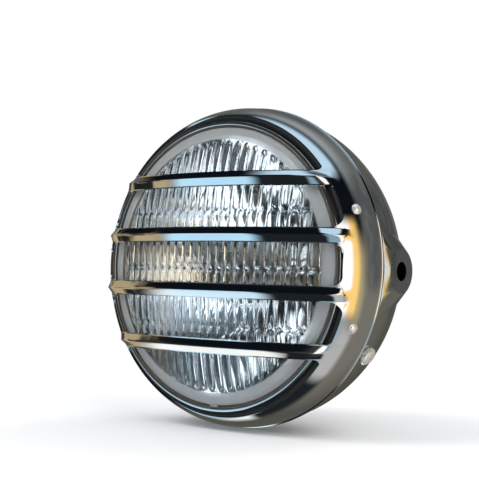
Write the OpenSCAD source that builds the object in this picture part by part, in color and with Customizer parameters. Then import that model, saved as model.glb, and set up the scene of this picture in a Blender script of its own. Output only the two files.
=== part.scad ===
// Round motorcycle headlight: pressed shell with side ears, chromed rim with a bowed grille, fluted
// lens, reflector, bulb and the fasteners that hold them. Millimetres.
// Frame: the lens faces -Y, +Z is up, and the origin is where the ear bolts' line crosses the lamp axis.
// Every piece is drawn round its own axis: x to the right, y up, z forward, with z = 0 at the rear
// edge of the rim, and is then turned into the frame by in_frame().

/* [Lens] */
// Outside diameter of the glass lens
lens_d = 152.8; // [148:0.2:158]
// How far the lens bulges forward of its own edge
lens_rise = 13; // [8:0.5:14]
// Thickness of the glass
lens_t = 3.5; // [3:0.1:5]
// Width of the plain band round the fluted field
lens_band = 7.8; // [5:0.2:12]
// Distance from one flute to the next
flute_pitch = 6; // [4:0.5:10]
// Depth of a flute
flute_depth = 1.2; // [0.6:0.1:2]
// Height of the lens skirt that stands in the seal
lens_skirt = 4; // [3:0.2:6]

/* [Lamp ring and seal] */
// Width of the seal seen between the lens and the lamp ring
seal_w = 1.4; // [1:0.1:2.5]
// Width of the front face of the lamp ring
ring_face = 2.2; // [1.8:0.1:3]
// Thickness of the ring's sheet
ring_t = 0.8; // [0.6:0.1:1]
// Length of the ring's side wall
ring_side = 9.4; // [8.5:0.2:10.5]
// Width of the ring's rear flange
ring_flange = 4.2; // [3:0.2:5]

/* [Rim and grille] */
// Gap between the lamp ring and the edge of the opening
open_gap = 3.7; // [2.5:0.1:5]
// Distance across the rim's shoulder and side, from the opening to the bead
rim_side = 6.9; // [6:0.1:9]
// Depth of the rim from its rear edge to the edge of the opening
rim_depth = 23.5; // [22:0.1:25]
// Radius of the rim's front shoulder
shoulder_r = 30; // [26:0.5:34]
// Angle between the rim's face and the lamp axis at the edge of the opening
edge_lean = 36.9; // [34:0.1:40]
// Angle between the rim's face and the lamp axis at the foot of the shoulder
side_lean = 8.8; // [7:0.1:11]
// Thickness of the rim's sheet
rim_t = 1; // [0.8:0.1:1.2]
// Radius of the rolled rear bead
bead_r = 1.15; // [1:0.05:1.4]
// How far the bars bow forward of the edge of the opening
grille_rise = 21.9; // [20:0.1:24]
// Number of bars
bar_count = 4; // [3:1:5]
// Distance from one bar to the next
bar_pitch = 30; // [24:0.5:32]
// Height of one bar
bar_w = 8.1; // [6:0.1:10]
// Height of the ridge pressed along each bar
ridge_h = 2.2; // [1:0.1:3]
// Height of the middle of the grille over the lamp axis
grille_up = 1.5; // [-2:0.1:2]
// Longest half-length of a slot
slot_reach = 81.4; // [78:0.2:84]
// Corner radius of a slot on the side of the lamp axis
corner_r = 5; // [3:0.5:7]
// Corner radius of a slot on the far side
corner_small_r = 1.6; // [1:0.1:3]

/* [Shell] */
// Thickness of the shell's sheet
body_t = 1.2; // [1:0.1:1.5]
// Radial play between the rim's bead and the shell
rim_gap = 0.3; // [0.2:0.05:0.5]
// Depth of the shell behind the rim
body_depth = 84.6; // [82:0.1:92]
// Length of the straight stretch behind the rim
body_straight = 8; // [6:0.5:10]
// Radius of the shell's shoulder
body_shoulder = 45; // [35:1:50]
// How far the shell reaches into the rim
body_lap = 5; // [4:0.5:6]

/* [Ears] */
// Distance between the outer faces of the two ears
ear_span = 180; // [178:0.5:183]
// Distance from the rim's rear edge back to the bolts
ear_back = 18.7; // [17:0.1:22]
// Diameter of the flat face round the bolt hole
ear_face_d = 25; // [22:0.5:28]
// Diameter of the bolt hole
ear_hole_d = 10.4; // [8.4:0.1:12.4]
// Half-width of the ear where it starts at the rim
ear_start = 28; // [22:1:30]

/* [Fasteners] */
// Nominal diameter of the rim screws
screw_d = 5; // [4:0.5:6]
// Diameter of the screw heads
screw_head_d = 10.6; // [9:0.2:12]
// Height of the screw heads
screw_head_h = 3.6; // [2.5:0.1:4]
// Angle of the rim screws below the horizontal
screw_angle = 31; // [25:1:40]
// Distance from the rim's rear edge back to the screws
screw_back = 9; // [7:0.2:10]
// Width of the tabs that the screws hold
tab_w = 13; // [11:0.5:16]
// Thickness of the tabs
tab_t = 1.5; // [1:0.1:2]
// Diameter of the rivet heads
rivet_head_d = 5.6; // [5:0.1:7]
// Diameter of the rivet shanks
rivet_d = 3; // [2.5:0.1:3.5]
// Angle of the rivets above and below the horizontal
rivet_angle = 20.5; // [16:0.5:26]
// Distance of the rivets in front of the rim's rear edge
rivet_front = 16.2; // [15.8:0.1:17]
// Width of the retaining clips
clip_w = 9; // [7:0.5:12]
// Thickness of the retaining clips
clip_t = 0.8; // [0.6:0.1:1]

/* [Reflector and bulb] */
// Thickness of the reflector's sheet
mirror_t = 0.8; // [0.6:0.1:1]
// Focal length of the reflector
focus = 27.5; // [26:0.5:30]
// Diameter of the hole that the bulb passes through
bulb_hole_d = 39; // [37:0.5:39]
// Length of the reflector's neck
neck_l = 8; // [7:0.5:10]
// Width of the neck's rear seat
neck_seat = 4; // [3.5:0.5:5]
// Diameter of the bulb's flange
bulb_flange_d = 43; // [42:0.5:44]
// Diameter of the bulb's glass
bulb_d = 17; // [15:0.5:19]
// Length of the glass in front of the flange
bulb_l = 46; // [42:1:48]
// Thickness of the bulb's glass
bulb_t = 1; // [0.8:0.1:1.2]
// Diameter of the bulb's metal cap
cap_d = 24; // [22:0.5:25]
// Width of a terminal blade
blade_w = 7.8; // [6.3:0.1:8]
// Thickness of a terminal blade
blade_t = 0.8; // [0.8:0.1:1]
// Length of a terminal blade
blade_l = 9; // [8:0.5:10]
// Thickness of the clip's wire
wire_d = 1.6; // [1.2:0.1:1.8]
// Thickness of the rubber boot
boot_t = 2.2; // [1.8:0.1:3]

/* [Cable entry] */
// Diameter of the cable hole through the grommet
cable_d = 9; // [7:0.5:12]
// Thickness of the grommet's rubber round the cable
grommet_t = 3; // [2.5:0.1:4]
// Angle of the cable entry below the lamp axis
entry_angle = 40; // [30:1:45]

/* [Hidden] */
$fn = 96;
arc_fn = 240;
hull_fn = 32;
skin = 0.1;   // play between pieces that are welded, riveted or bonded
key_w = 5.5;  // the lens key crosses the seal at six o'clock
key_h = seal_w - skin;
seat = 0.3;   // play between pieces that rest on each other
reach = 400;  // longer than anything here, for cuts
wide = 90;    // where the outlines of the two end openings meet

// Rings round the lens
lens_r = lens_d / 2;
ring_r = lens_r + seal_w + ring_face;
open_r = ring_r + open_gap;
rim_r = open_r + rim_side;
body_r = rim_r - 2 * bead_r - rim_gap;
bead_c = rim_r - bead_r;

// Front of the rim: dome, shoulder and side wall, tangent to each other
shoulder_x = open_r - shoulder_r * cos(edge_lean);
shoulder_z = rim_depth - shoulder_r * sin(edge_lean);
dome_h = rim_depth + grille_rise - shoulder_z;
dome_r = (shoulder_x * shoulder_x + dome_h * dome_h - shoulder_r * shoulder_r)
    / (2 * (dome_h - shoulder_r));
dome_z = rim_depth + grille_rise - dome_r;
dome_lean = acos(shoulder_x / (dome_r - shoulder_r));
dome_edge = dome_r * cos(dome_lean);
side_top = [shoulder_x + shoulder_r * cos(side_lean), shoulder_z + shoulder_r * sin(side_lean)];
side_n = [cos(side_lean), sin(side_lean)];
side_d = [bead_c + rim_t / 2, bead_r] - side_top;
side_r = -(side_d * side_d) / (2 * (side_d * side_n));
side_c = side_top - side_r * side_n;
side_start = asin((bead_r - side_c[1]) / side_r);

// Bars and slots
bar_half = (bar_count - 1) / 2;
function bar_y(i) = grille_up + (i - bar_half) * bar_pitch;
inner_bar = min([for (i = [0 : bar_count - 1]) abs(bar_y(i))]);
front_z = dome_z + (dome_r + ridge_h) * cos(asin(inner_bar / dome_r));

// Back of the shell: straight, shoulder and a round end, tangent to each other
body_h = body_depth - body_straight;
body_a = body_r - body_shoulder;
body_end_r = (body_a * body_a + body_h * body_h - body_shoulder * body_shoulder)
    / (2 * (body_h - body_shoulder));
body_end_z = body_end_r - body_depth;
body_turn = atan2(-body_straight - body_end_z, body_a);
ear_r = ear_span / 2;
ear_drop = 12;

// Lens, seal and lamp ring
ring_z = rim_depth + 2.7;
lens_z = ring_z - 0.3;
lens_out_r = (lens_r * lens_r + lens_rise * lens_rise) / (2 * lens_rise);
lens_out_z = lens_z + lens_rise - lens_out_r;
flute_r = lens_r - lens_band;
groove_z = ring_z - 1.2;
seal_floor = lens_z - lens_skirt - 1;
seal_r = ring_r - ring_t - mirror_t - 2 * skin;
flange_z = ring_z - ring_side;
gasket_in = ring_r + skin;

// Reflector: the bowl is a parabola about its focus
bowl_z = seal_floor - mirror_t - skin;
bowl_r = lens_r - 3.5;
vertex_z = bowl_z - bowl_r * bowl_r / (4 * focus);
neck_r = bulb_hole_d / 2;
neck_top_r = neck_r + 2;
neck_z = vertex_z + neck_top_r * neck_top_r / (4 * focus);
seat_z = neck_z - neck_l;
focus_z = vertex_z + focus;

// Bulb
flange_t = 1.2;
bulb_seat_z = seat_z - skin;
bulb_back_z = bulb_seat_z - flange_t;
cap_l = 12;
cap_back_z = bulb_back_z - cap_l;
plug_l = 4;
plug_back_z = cap_back_z - skin - plug_l;
collar_r = bulb_d / 2 + 2;
collar_l = 12;
bulb_tip_z = bulb_seat_z + bulb_l;
stem_z = bulb_seat_z + 6 + skin;

// Fasteners
tab_r = body_r - body_t - seat;
tab_in = tab_r - tab_t;
tab_back = -screw_back - 6;
tab_end = body_a + sqrt(pow(body_shoulder - body_t - seat, 2) - pow(tab_back + body_straight, 2));
nut_af = 1.6 * screw_d;
nut_h = 0.8 * screw_d;
thread_gap = 0.05;
hole_gap = 0.3;
rivet_lean = asin((rivet_front - shoulder_z) / shoulder_r);
rivet_at = [shoulder_x, shoulder_z] + shoulder_r * [cos(rivet_lean), sin(rivet_lean)];

// Cable entry, set square to the shell's round end
entry_r = cable_d / 2 + grommet_t;
lip_h = 1.6;
lip_w = 2;

// Colours
chrome = "#c8cbcf";
steel = "#8f9498";
glass = "#dfe9ee";
mirror_colour = "#e3e5e6";
rubber_colour = "#1b1b1c";
seal_colour = "#4a4236";
plastic_colour = "#d9d6cc";
tungsten = "#6f6f72";

// Points on an arc, from angle a0 to angle a1
function arc(c, r, a0, a1, n) =
    [for (i = [0 : n]) let (a = a0 + (a1 - a0) * i / n) c + r * [cos(a), sin(a)]];
function back(points) = [for (i = [len(points) - 1 : -1 : 0]) points[i]];
function mirrored(points) = [for (p = back(points)) [-p[0], p[1]]];

module in_frame() {
    translate([0, -ear_back, 0])
        rotate([90, 0, 0])
            children();
}

// Piece of a round band in a profile, from angle a0 to angle a1 round the point c
module band(c, inner, outer, a0, a1) {
    far = 2 * outer;
    translate(c)
        intersection() {
            difference() {
                circle(r = outer, $fn = arc_fn);
                circle(r = inner, $fn = arc_fn);
            }
            polygon([[0, 0], far * [cos(a0), sin(a0)], far * [cos((a0 + a1) / 2), sin((a0 + a1) / 2)],
                far * [cos(a1), sin(a1)]]);
        }
}

// Turns a piece drawn at the right so that it sits at an angle round the lamp axis
module round_at(angle) {
    rotate([0, 0, angle])
        children();
}

// The shell's outline from its straight stretch to the axis, moved inward by d
function body_outline(d) = concat(
    arc([body_a, -body_straight], body_shoulder - d, 0, body_turn, 8),
    arc([0, body_end_z], body_end_r - d, body_turn - 4, -90, 14));

module solid_body(d) {
    rotate_extrude()
        polygon(concat([[0, body_lap + d], [body_r - d, body_lap + d]], body_outline(d)));
}

module ear_form(d) {
    front = ear_back - 4;
    rise = sqrt(body_r * body_r - ear_start * ear_start);
    hull() {
        translate([ear_r - d - skin, 0, -ear_back])
            rotate([0, 90, 0])
                cylinder(h = skin, r = ear_face_d / 2 - d / 2, $fn = hull_fn);
        translate([ear_r - ear_drop - d, 0, -ear_back])
            rotate([0, 90, 0])
                cylinder(h = skin, r = ear_face_d / 2 + ear_drop - d / 2, $fn = hull_fn);
        for (side = [-1, 1])
            translate([rise - d, side * (ear_start - d / 2), front - ear_back])
                cube([skin, skin, skin], center = true);
        translate([body_r - d - skin, 0, front - ear_back])
            cube([skin, ear_face_d - d, skin], center = true);
    }
}

module bucket() {
    color(steel)
        in_frame()
            difference() {
                union() {
                    solid_body(0);
                    ear_form(0);
                    mirror([1, 0, 0])
                        ear_form(0);
                }
                solid_body(body_t);
                ear_form(body_t);
                mirror([1, 0, 0])
                    ear_form(body_t);
                translate([0, 0, -ear_back])
                    rotate([0, 90, 0])
                        cylinder(h = reach, r = ear_hole_d / 2, center = true);
                for (side = [0, 180])
                    screw_place(side)
                        cylinder(h = reach, r = screw_d / 2 + hole_gap);
                entry_place()
                    cylinder(h = reach, r = entry_r, center = true);
            }
}

// Bars: a ridge follows the rim's outer face at a bar's height, over the dome and down the shoulder
function face_angle(r) = r <= dome_edge ? acos(r / dome_r) : acos((r - shoulder_x) / shoulder_r);
function face_r(a) = a >= dome_lean ? dome_r * cos(a) : shoulder_x + shoulder_r * cos(a);
function face_z(a) = a >= dome_lean ? dome_z + dome_r * sin(a) : shoulder_z + shoulder_r * sin(a);
function face_point(x, y, a, h) =
    let (r = norm([x, y]), out = face_r(a) + h * cos(a))
    [x / r * out, y / r * out, face_z(a) + h * sin(a)];
function dome_point(x, y, h) = face_point(x, y, acos(norm([x, y]) / dome_r), h);
function round_point(a, y, h) = face_point(sqrt(pow(face_r(a), 2) - y * y), y, a, h);
function crest(a) = min(ridge_h, ridge_h * (a - side_lean - 9) / 18);

module ridge(i) {
    y = bar_y(i);
    half = bar_w / 2 - 0.1;
    inner_a = dome_lean + 1;
    inner_x = sqrt(pow(face_r(inner_a), 2) - pow(abs(y) + half, 2));
    round_part = [for (k = [0 : 7])
        let (a = side_lean + 8 + (inner_a - side_lean - 8) * k / 7)
        for (e = [[-half, -rim_t / 2], [-0.4, crest(a)], [0.4, crest(a)], [half, -rim_t / 2]])
            round_point(a, y + e[0], e[1])];
    dome_part = [for (k = [-12 : 12])
        for (e = [[-half, -rim_t / 2], [-0.4, ridge_h], [0.4, ridge_h], [half, -rim_t / 2]])
            dome_point(inner_x * k / 13, y + e[0], e[1])];
    points = concat([for (q = round_part) [-q[0], q[1], q[2]]], dome_part,
        [for (k = [7 : -1 : 0]) for (m = [0 : 3]) round_part[4 * k + m]]);
    n = len(points) / 4;
    sides = [for (k = [0 : n - 2]) for (m = [0 : 3])
        let (a = 4 * k + m, b = 4 * k + (m + 1) % 4) each [[a, b, b + 4], [a, b + 4, a + 4]]];
    polyhedron(points, concat([[3, 2, 1, 0]], sides, [[4 * n - 4, 4 * n - 3, 4 * n - 2, 4 * n - 1]]));
}

// Outline of the space between two bars, with the corners of the right-hand end rounded
function slot_corner(y, r, up) =
    let (cy = y + up * r, on_arc = sqrt(pow(open_r - r, 2) - cy * cy), cx = min(on_arc, slot_reach - r))
    [cx, cy, on_arc <= slot_reach - r ? atan2(cy, cx) : 0];
function slot_right(low, high, low_r, high_r) =
    let (a = slot_corner(low, low_r, 1), b = slot_corner(high, high_r, -1))
    concat(arc([a[0], a[1]], low_r, -90, a[2], 6),
        a[2] == 0 || b[2] == 0 ? [] : arc([0, 0], open_r, a[2] + 1, b[2] - 1, 8),
        arc([b[0], b[1]], high_r, b[2], 90, 6));
function end_right(low, low_r) =
    let (a = slot_corner(low, low_r, 1))
    concat(arc([a[0], a[1]], low_r, -90, a[2], 5), arc([0, 0], open_r, a[2] + 2, wide, 14));

module slots() {
    low = -bar_w / 2;
    high = bar_w / 2;
    linear_extrude(reach) {
        for (i = [0 : bar_count - 2]) {
            base = bar_y(i) + high;
            top = bar_y(i + 1) + low;
            base_r = base + top > 0 || base * top < 0 ? corner_r : corner_small_r;
            top_r = base + top < 0 || base * top < 0 ? corner_r : corner_small_r;
            right = slot_right(base, top, base_r, top_r);
            polygon(concat(right, mirrored(right)));
        }
        up = end_right(bar_y(bar_count - 1) + high, corner_small_r);
        polygon(concat(up, mirrored(up)));
        down = end_right(-bar_y(0) + high, corner_small_r);
        mirror([0, 1])
            polygon(concat(down, mirrored(down)));
    }
}

// The rim's outline from the opening's edge to the bead, moved inward by d
join_r = dome_edge + 0.7;
join_a = acos((join_r + 0.02 - shoulder_x) / shoulder_r);
function rim_line(d) = concat(arc([shoulder_x, shoulder_z], shoulder_r - d, join_a, side_lean, 8),
    back(arc(side_c, side_r - d, side_start, side_lean - 2, 4)));

// Part of the dome inside a radius, as a sheet
module dome_sheet(r) {
    intersection() {
        translate([0, 0, dome_z])
            difference() {
                sphere(r = dome_r, $fn = arc_fn);
                sphere(r = dome_r - rim_t, $fn = arc_fn);
            }
        cylinder(h = reach, r = r);
    }
}

module grille_rim() {
    lap = 0.9;
    deep = 0.25;
    tongue = [for (d = [deep, rim_t - deep]) let (a = face_angle(join_r - lap))
        [(dome_r - d) * cos(a), dome_z + (dome_r - d) * sin(a)]];
    color(chrome)
        in_frame()
            difference() {
                union() {
                    difference() {
                        union() {
                            dome_sheet(join_r);
                            rotate_extrude()
                                polygon(concat([tongue[0]], rim_line(0), back(rim_line(rim_t)), [tongue[1]]));
                        }
                        slots();
                    }
                    rotate_extrude()
                        translate([bead_c, bead_r])
                            circle(r = bead_r);
                    for (i = [0 : bar_count - 1])
                        ridge(i);
                }
                for (a = rivet_turns())
                    rivet_place(a)
                        cylinder(h = 20, r = rivet_d / 2 + skin, center = true);
            }
}

// Ring of black rubber between the lamp ring's flange and the rim's shoulder
module rim_gasket() {
    low = flange_z + skin;
    out = ring_r + ring_flange;
    in_d = shoulder_r - rim_t - skin;
    fit_a = acos((out - shoulder_x) / in_d);
    top_a = edge_lean + 2;
    color(rubber_colour)
        in_frame()
            rotate_extrude()
                polygon(concat([[gasket_in, low], [out, low]],
                    arc([shoulder_x, shoulder_z], in_d, fit_a, top_a, 3),
                    [[gasket_in, shoulder_z + in_d * sin(top_a) - 1.5]]));
}

// Flutes: upright ribs of equal depth inside the glass
module flutes() {
    ri = lens_out_r - lens_t;
    count = floor(flute_r / flute_pitch);
    groove = flute_pitch / 2;
    difference() {
        rotate_extrude()
            intersection() {
                translate([0, lens_out_z])
                    difference() {
                        circle(r = ri + 1, $fn = arc_fn);
                        circle(r = ri - flute_depth, $fn = arc_fn);
                    }
                square([flute_r, reach]);
            }
        for (i = [-count : count])
            translate([i * flute_pitch - groove / 2, -reach / 2, -reach])
                cube([groove, reach, 2 * reach]);
    }
}

module lens() {
    inner_r = lens_out_r - lens_t;
    color(glass, 0.4)
        in_frame()
            union() {
                rotate_extrude() {
                    intersection() {
                        translate([0, lens_out_z])
                            difference() {
                                circle(r = lens_out_r, $fn = arc_fn);
                                circle(r = inner_r, $fn = arc_fn);
                            }
                        translate([0, lens_z - lens_skirt])
                            square([lens_r, reach]);
                    }
                    translate([lens_r - lens_t, lens_z - lens_skirt])
                        square([lens_t, lens_skirt - 0.5]);
                }
                flutes();
                translate([-key_w / 2, -lens_r - key_h, lens_z - lens_skirt])
                    cube([key_w, key_h + lens_t / 2, lens_skirt - 0.5]);
            }
}

module lens_seal() {
    color(seal_colour)
        in_frame()
            difference() {
                rotate_extrude()
                    polygon([[lens_r - lens_t - 1, seal_floor], [seal_r, seal_floor], [seal_r, groove_z],
                        [lens_r + skin, groove_z], [lens_r + skin, seal_floor + 1 - skin],
                        [lens_r - lens_t - 1, seal_floor + 1 - skin]]);
                translate([-key_w / 2 - skin, -reach, lens_z - lens_skirt - skin])
                    cube([key_w + 2 * skin, reach, lens_skirt]);
            }
}

// Bright ring round the lens: a front lip, a side wall and a rear flange
module lamp_ring() {
    lip = lens_r + seal_w;
    edge = 0.5;
    color(chrome)
        in_frame()
            rotate_extrude()
                polygon([[lip, ring_z - ring_t], [lip, ring_z - edge], [lip + edge, ring_z],
                    [ring_r - edge, ring_z], [ring_r, ring_z - edge], [ring_r, flange_z],
                    [ring_r + ring_flange, flange_z], [ring_r + ring_flange, flange_z - ring_t],
                    [ring_r - ring_t, flange_z - ring_t], [ring_r - ring_t, ring_z - ring_t]]);
}

module reflector() {
    out = seal_r + skin;
    bowl = function (d) [for (i = [0 : 20])
        let (r = neck_top_r + (bowl_r - neck_top_r) * i / 20) [r + d * 0.4, vertex_z + r * r / (4 * focus) - d]];
    color(mirror_colour)
        in_frame()
            difference() {
                rotate_extrude()
                    polygon(concat([[neck_r, seat_z], [neck_r, neck_z]], bowl(0), [[bowl_r, bowl_z + mirror_t],
                        [out, bowl_z + mirror_t], [out, groove_z], [out + mirror_t, groove_z],
                        [out + mirror_t, bowl_z]], back(bowl(mirror_t)),
                        [[neck_top_r + mirror_t, seat_z + 1], [neck_r + neck_seat, seat_z + 1],
                        [neck_r + neck_seat, seat_z]]));
            }
}

module bulb_glass() {
    r = bulb_d / 2;
    start = bulb_seat_z + 4;
    tip = bulb_tip_z - r;
    color(glass, 0.4)
        in_frame()
            rotate_extrude()
                polygon(concat([[0, start], [r, start]], arc([0, tip], r, 0, 90, 8),
                    arc([0, tip], r - bulb_t, 90, 0, 8), [[r - bulb_t, start + 2], [0, start + 2]]));
}

module bulb_cap() {
    inner = cap_d / 2 - 1.5;
    socket = bulb_d / 2 + skin;
    floor_z = bulb_seat_z + 4 - skin;
    ledge_z = cap_back_z + cap_l - 3;
    color(steel)
        in_frame()
            union() {
                rotate_extrude()
                    polygon([[inner, cap_back_z], [cap_d / 2, cap_back_z], [cap_d / 2, bulb_back_z],
                        [neck_r - seat, bulb_back_z], [neck_r - seat, bulb_seat_z], [collar_r, bulb_seat_z],
                        [collar_r, bulb_seat_z + collar_l], [socket, bulb_seat_z + collar_l],
                        [socket, floor_z], [0, floor_z], [0, ledge_z], [inner, ledge_z]]);
                for (a = [90, 210, 330])
                    round_at(a)
                        translate([neck_r - seat - 2, -4, bulb_back_z + 0.1])
                            cube([bulb_flange_d / 2 - neck_r + seat + 2, 8, flange_t - 0.2]);
            }
}

module bulb_insulator() {
    color(plastic_colour)
        in_frame()
            difference() {
                translate([0, 0, plug_back_z])
                    cylinder(h = plug_l + 5, r = cap_d / 2 - 1.5 - skin);
                for (a = blade_turns())
                    blade(a, skin);
            }
}

function blade_turns() = [0, 90, 180];

// One terminal blade, set out from the bulb's axis
module blade(a, gap) {
    out = a == 90 ? 7 : 8;
    round_at(a)
        translate([out - blade_t / 2 - gap, -blade_w / 2 - gap, plug_back_z - blade_l])
            cube([blade_t + 2 * gap, blade_w + 2 * gap, blade_l + plug_l + 2 + gap]);
}

module bulb_terminals() {
    color(steel)
        in_frame()
            for (a = blade_turns())
                difference() {
                    blade(a, 0);
                    round_at(a)
                        translate([0, 0, plug_back_z - blade_l / 2])
                            rotate([0, 90, 0])
                                cylinder(h = reach, r = 0.9);
                }
}

// Straight wire between two points
module wire(p, q, r) {
    d = q - p;
    translate(p)
        rotate([0, acos(d[2] / norm(d)), atan2(d[1], d[0])])
            cylinder(h = norm(d), r = r);
}

// Small cup under the low-beam filament, on its post
module low_beam_shield() {
    r = 4.6;
    color(steel)
        in_frame()
            union() {
                difference() {
                    translate([0, 0, focus_z - 1])
                        cylinder(h = 11, r = r);
                    translate([0, 0, focus_z])
                        cylinder(h = 9, r = r - 0.5);
                    translate([-r - 1, 0.6, focus_z - 2])
                        cube([2 * r + 2, r + 1, 13]);
                }
                wire([0, 0.8 - r, stem_z], [0, 0.8 - r, focus_z - 0.5], 0.5);
            }
}

// Coil of a filament with its two lead wires, on one side of the bulb's axis
module filament(z, length, side) {
    color(tungsten)
        in_frame()
            union() {
                translate([0, 0, z])
                    difference() {
                        cylinder(h = length, r = 0.8);
                        translate([0, 0, -1])
                            cylinder(h = length + 2, r = 0.5);
                    }
                for (e = [[1.8, z + length - 0.4], [-1.8, z + 0.4]]) {
                    wire([e[0], side * 3.2, stem_z], [e[0], side * 3.2, e[1]], 0.3);
                    wire([e[0], side * 3.2, e[1]], [0, side * 0.6, e[1]], 0.25);
                }
            }
}

module low_beam_filament() {
    filament(focus_z + 2, 5.5, 1);
}

module high_beam_filament() {
    filament(focus_z - 7, 5, -1);
}

// Wire loop that presses the bulb's flange on to the neck, with its two ends bent outwards
module bulb_clip() {
    loop_r = 16.5;
    end_a = 215;
    leg = neck_r + 2.5;
    color(steel)
        in_frame()
            translate([0, 0, bulb_back_z - wire_d / 2 - skin]) {
                rotate([0, 0, 180 - end_a])
                    rotate_extrude(angle = 2 * end_a - 180)
                        translate([loop_r, 0])
                            circle(r = wire_d / 2);
                for (a = [183 - end_a, end_a - 3])
                    rotate([0, 0, a])
                        translate([loop_r - 0.3, 0, 0])
                            rotate([0, 90, 0])
                                cylinder(h = leg - loop_r, r = wire_d / 2 - 0.1);
            }
}

// Rubber boot from the reflector's neck to the bulb's cap
module bulb_boot() {
    ri = neck_r + neck_seat + skin;
    small = cap_d / 2 + skin;
    top = seat_z + 2.5;
    bend = bulb_back_z - wire_d - 1.5;
    low = cap_back_z + 2;
    color(rubber_colour)
        in_frame()
            rotate_extrude()
                polygon([[neck_top_r + mirror_t + seat, top + 1.5], [ri + boot_t, top + 1.5],
                    [ri + boot_t, bend], [small + boot_t, low + 2], [small + boot_t, low],
                    [small, low], [small, low + 1.5], [ri, bend + 1.5], [ri, seat_z + 1 + skin],
                    [neck_top_r + mirror_t + seat, seat_z + 1 + skin]]);
}

module entry_place() {
    translate([0, 0, body_end_z])
        rotate([180 - entry_angle, 0, 0])
            translate([0, 0, body_end_r])
                children();
}

module cable_grommet() {
    neck = entry_r - skin;
    bulge = pow(neck + lip_w, 2) / (2 * (body_end_r - body_t));
    inner = -body_t - seat - bulge;
    color(rubber_colour)
        in_frame()
            entry_place()
                difference() {
                    union() {
                        translate([0, 0, inner - lip_h])
                            cylinder(h = seat + lip_h - inner + lip_h, r = neck);
                        translate([0, 0, inner - lip_h])
                            cylinder(h = lip_h, r = neck + lip_w - 0.5);
                        translate([0, 0, seat])
                            cylinder(h = lip_h, r = neck + lip_w);
                    }
                    cylinder(h = reach, r = cable_d / 2, center = true);
                }
}

// Radius of the rim's side wall at a height, moved inward by d
function wall_r(z, d) = side_c[0] + sqrt(pow(side_r - d, 2) - pow(z - side_c[1], 2));

function rivet_turns() = [rivet_angle, -rivet_angle, 180 - rivet_angle, 180 + rivet_angle];

// A rivet's own axis: square to the rim's side wall
module rivet_place(a) {
    round_at(a)
        translate([rivet_at[0], 0, rivet_at[1]])
            rotate([0, 90 - rivet_lean, 0])
                children();
}

module rivet(a) {
    head_h = 1.5;
    tail_h = 0.7;
    head_r = (pow(rivet_head_d / 2, 2) + head_h * head_h) / (2 * head_h);
    depth = rim_t + 3 * skin + clip_t;
    turn = asin((rivet_head_d / 2) / head_r);
    color(chrome)
        in_frame()
            rivet_place(a)
                union() {
                    translate([0, 0, skin])
                        rotate_extrude()
                            polygon(concat([[0, 0]], arc([0, head_h - head_r], head_r, 90 - turn, 90, 6)));
                    translate([0, 0, -depth - tail_h / 2])
                        cylinder(h = depth + tail_h / 2 + 2 * skin, r = rivet_d / 2);
                    translate([0, 0, -depth - tail_h])
                        cylinder(h = tail_h, r = rivet_d / 2 + 0.6);
                }
}

// Spring clip: riveted to the rim's side wall, hooked behind the lamp ring's flange
module retaining_clip(a) {
    half = asin(clip_w / 2 / rivet_at[0]);
    press_r = ring_r + ring_flange - 2;
    press_z = flange_z - ring_t - skin;
    low = rivet_at[1] - 8;
    inside = shoulder_r - rim_t - skin;
    foot = arc([shoulder_x, shoulder_z], inside, rivet_lean + 4, side_lean, 4);
    liner = back(arc([shoulder_x, shoulder_z], inside - clip_t, rivet_lean + 4, side_lean + 1, 4));
    color(steel)
        in_frame()
            round_at(a)
                difference() {
                    rotate([0, 0, -half])
                        rotate_extrude(angle = 2 * half)
                            polygon(concat(foot, [[press_r - 3, low - 1.2], [press_r - 1, press_z],
                                [press_r + 1, press_z], [press_r - 1.2, low + clip_t]], liner));
                    translate([rivet_at[0], 0, rivet_at[1]])
                        rotate([0, 90 - rivet_lean, 0])
                            cylinder(h = 20, r = rivet_d / 2 + skin, center = true);
                }
}

module screw_place(side) {
    turn = side == 0 ? -screw_angle : 180 + screw_angle;
    round_at(turn)
        translate([0, 0, -screw_back])
            rotate([0, 90, 0])
                children();
}

module rim_screw(side) {
    head_z = body_r + skin;
    base = screw_head_h * 0.35;
    color(chrome)
        in_frame()
            screw_place(side)
                difference() {
                    union() {
                        translate([0, 0, tab_in - nut_h - 2])
                            cylinder(h = head_z - tab_in + nut_h + 2 + skin, r = screw_d / 2);
                        translate([0, 0, head_z])
                            rotate_extrude()
                                polygon(concat([[0, 0], [screw_head_d / 2, 0], [screw_head_d / 2, base]],
                                    head_curve(base)));
                    }
                    for (a = [0, 90])
                        rotate([0, 0, a])
                            translate([-2.6, -0.55, head_z + screw_head_h - 1.6])
                                cube([5.2, 1.1, 4]);
                }
}

function head_curve(base) = [for (i = [1 : 6])
    [screw_head_d / 2 * cos(15 * i), base + (screw_head_h - base) * sin(15 * i)]];

// Strip welded inside the rim that reaches back under the shell to the screw
module screw_tab(side) {
    turn = side == 0 ? -screw_angle : 180 + screw_angle;
    half = asin(tab_w / 2 / tab_r);
    join_low = body_lap + 2;
    join_high = body_lap + 5;
    d = rim_t + skin;
    color(steel)
        in_frame()
            difference() {
                rotate([0, 0, turn - half])
                    rotate_extrude(angle = 2 * half)
                        polygon([[tab_end - tab_t, tab_back], [tab_end, tab_back], [tab_r, -body_straight],
                            [tab_r, body_lap + seat],
                            [wall_r(join_low, d), join_low], [wall_r(join_high, d), join_high],
                            [wall_r(join_high, d) - tab_t, join_high],
                            [wall_r(join_low, d) - tab_t, join_low], [tab_in, body_lap + seat],
                            [tab_in, -body_straight]]);
                screw_place(side)
                    cylinder(h = reach, r = screw_d / 2 + hole_gap);
            }
}

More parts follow.
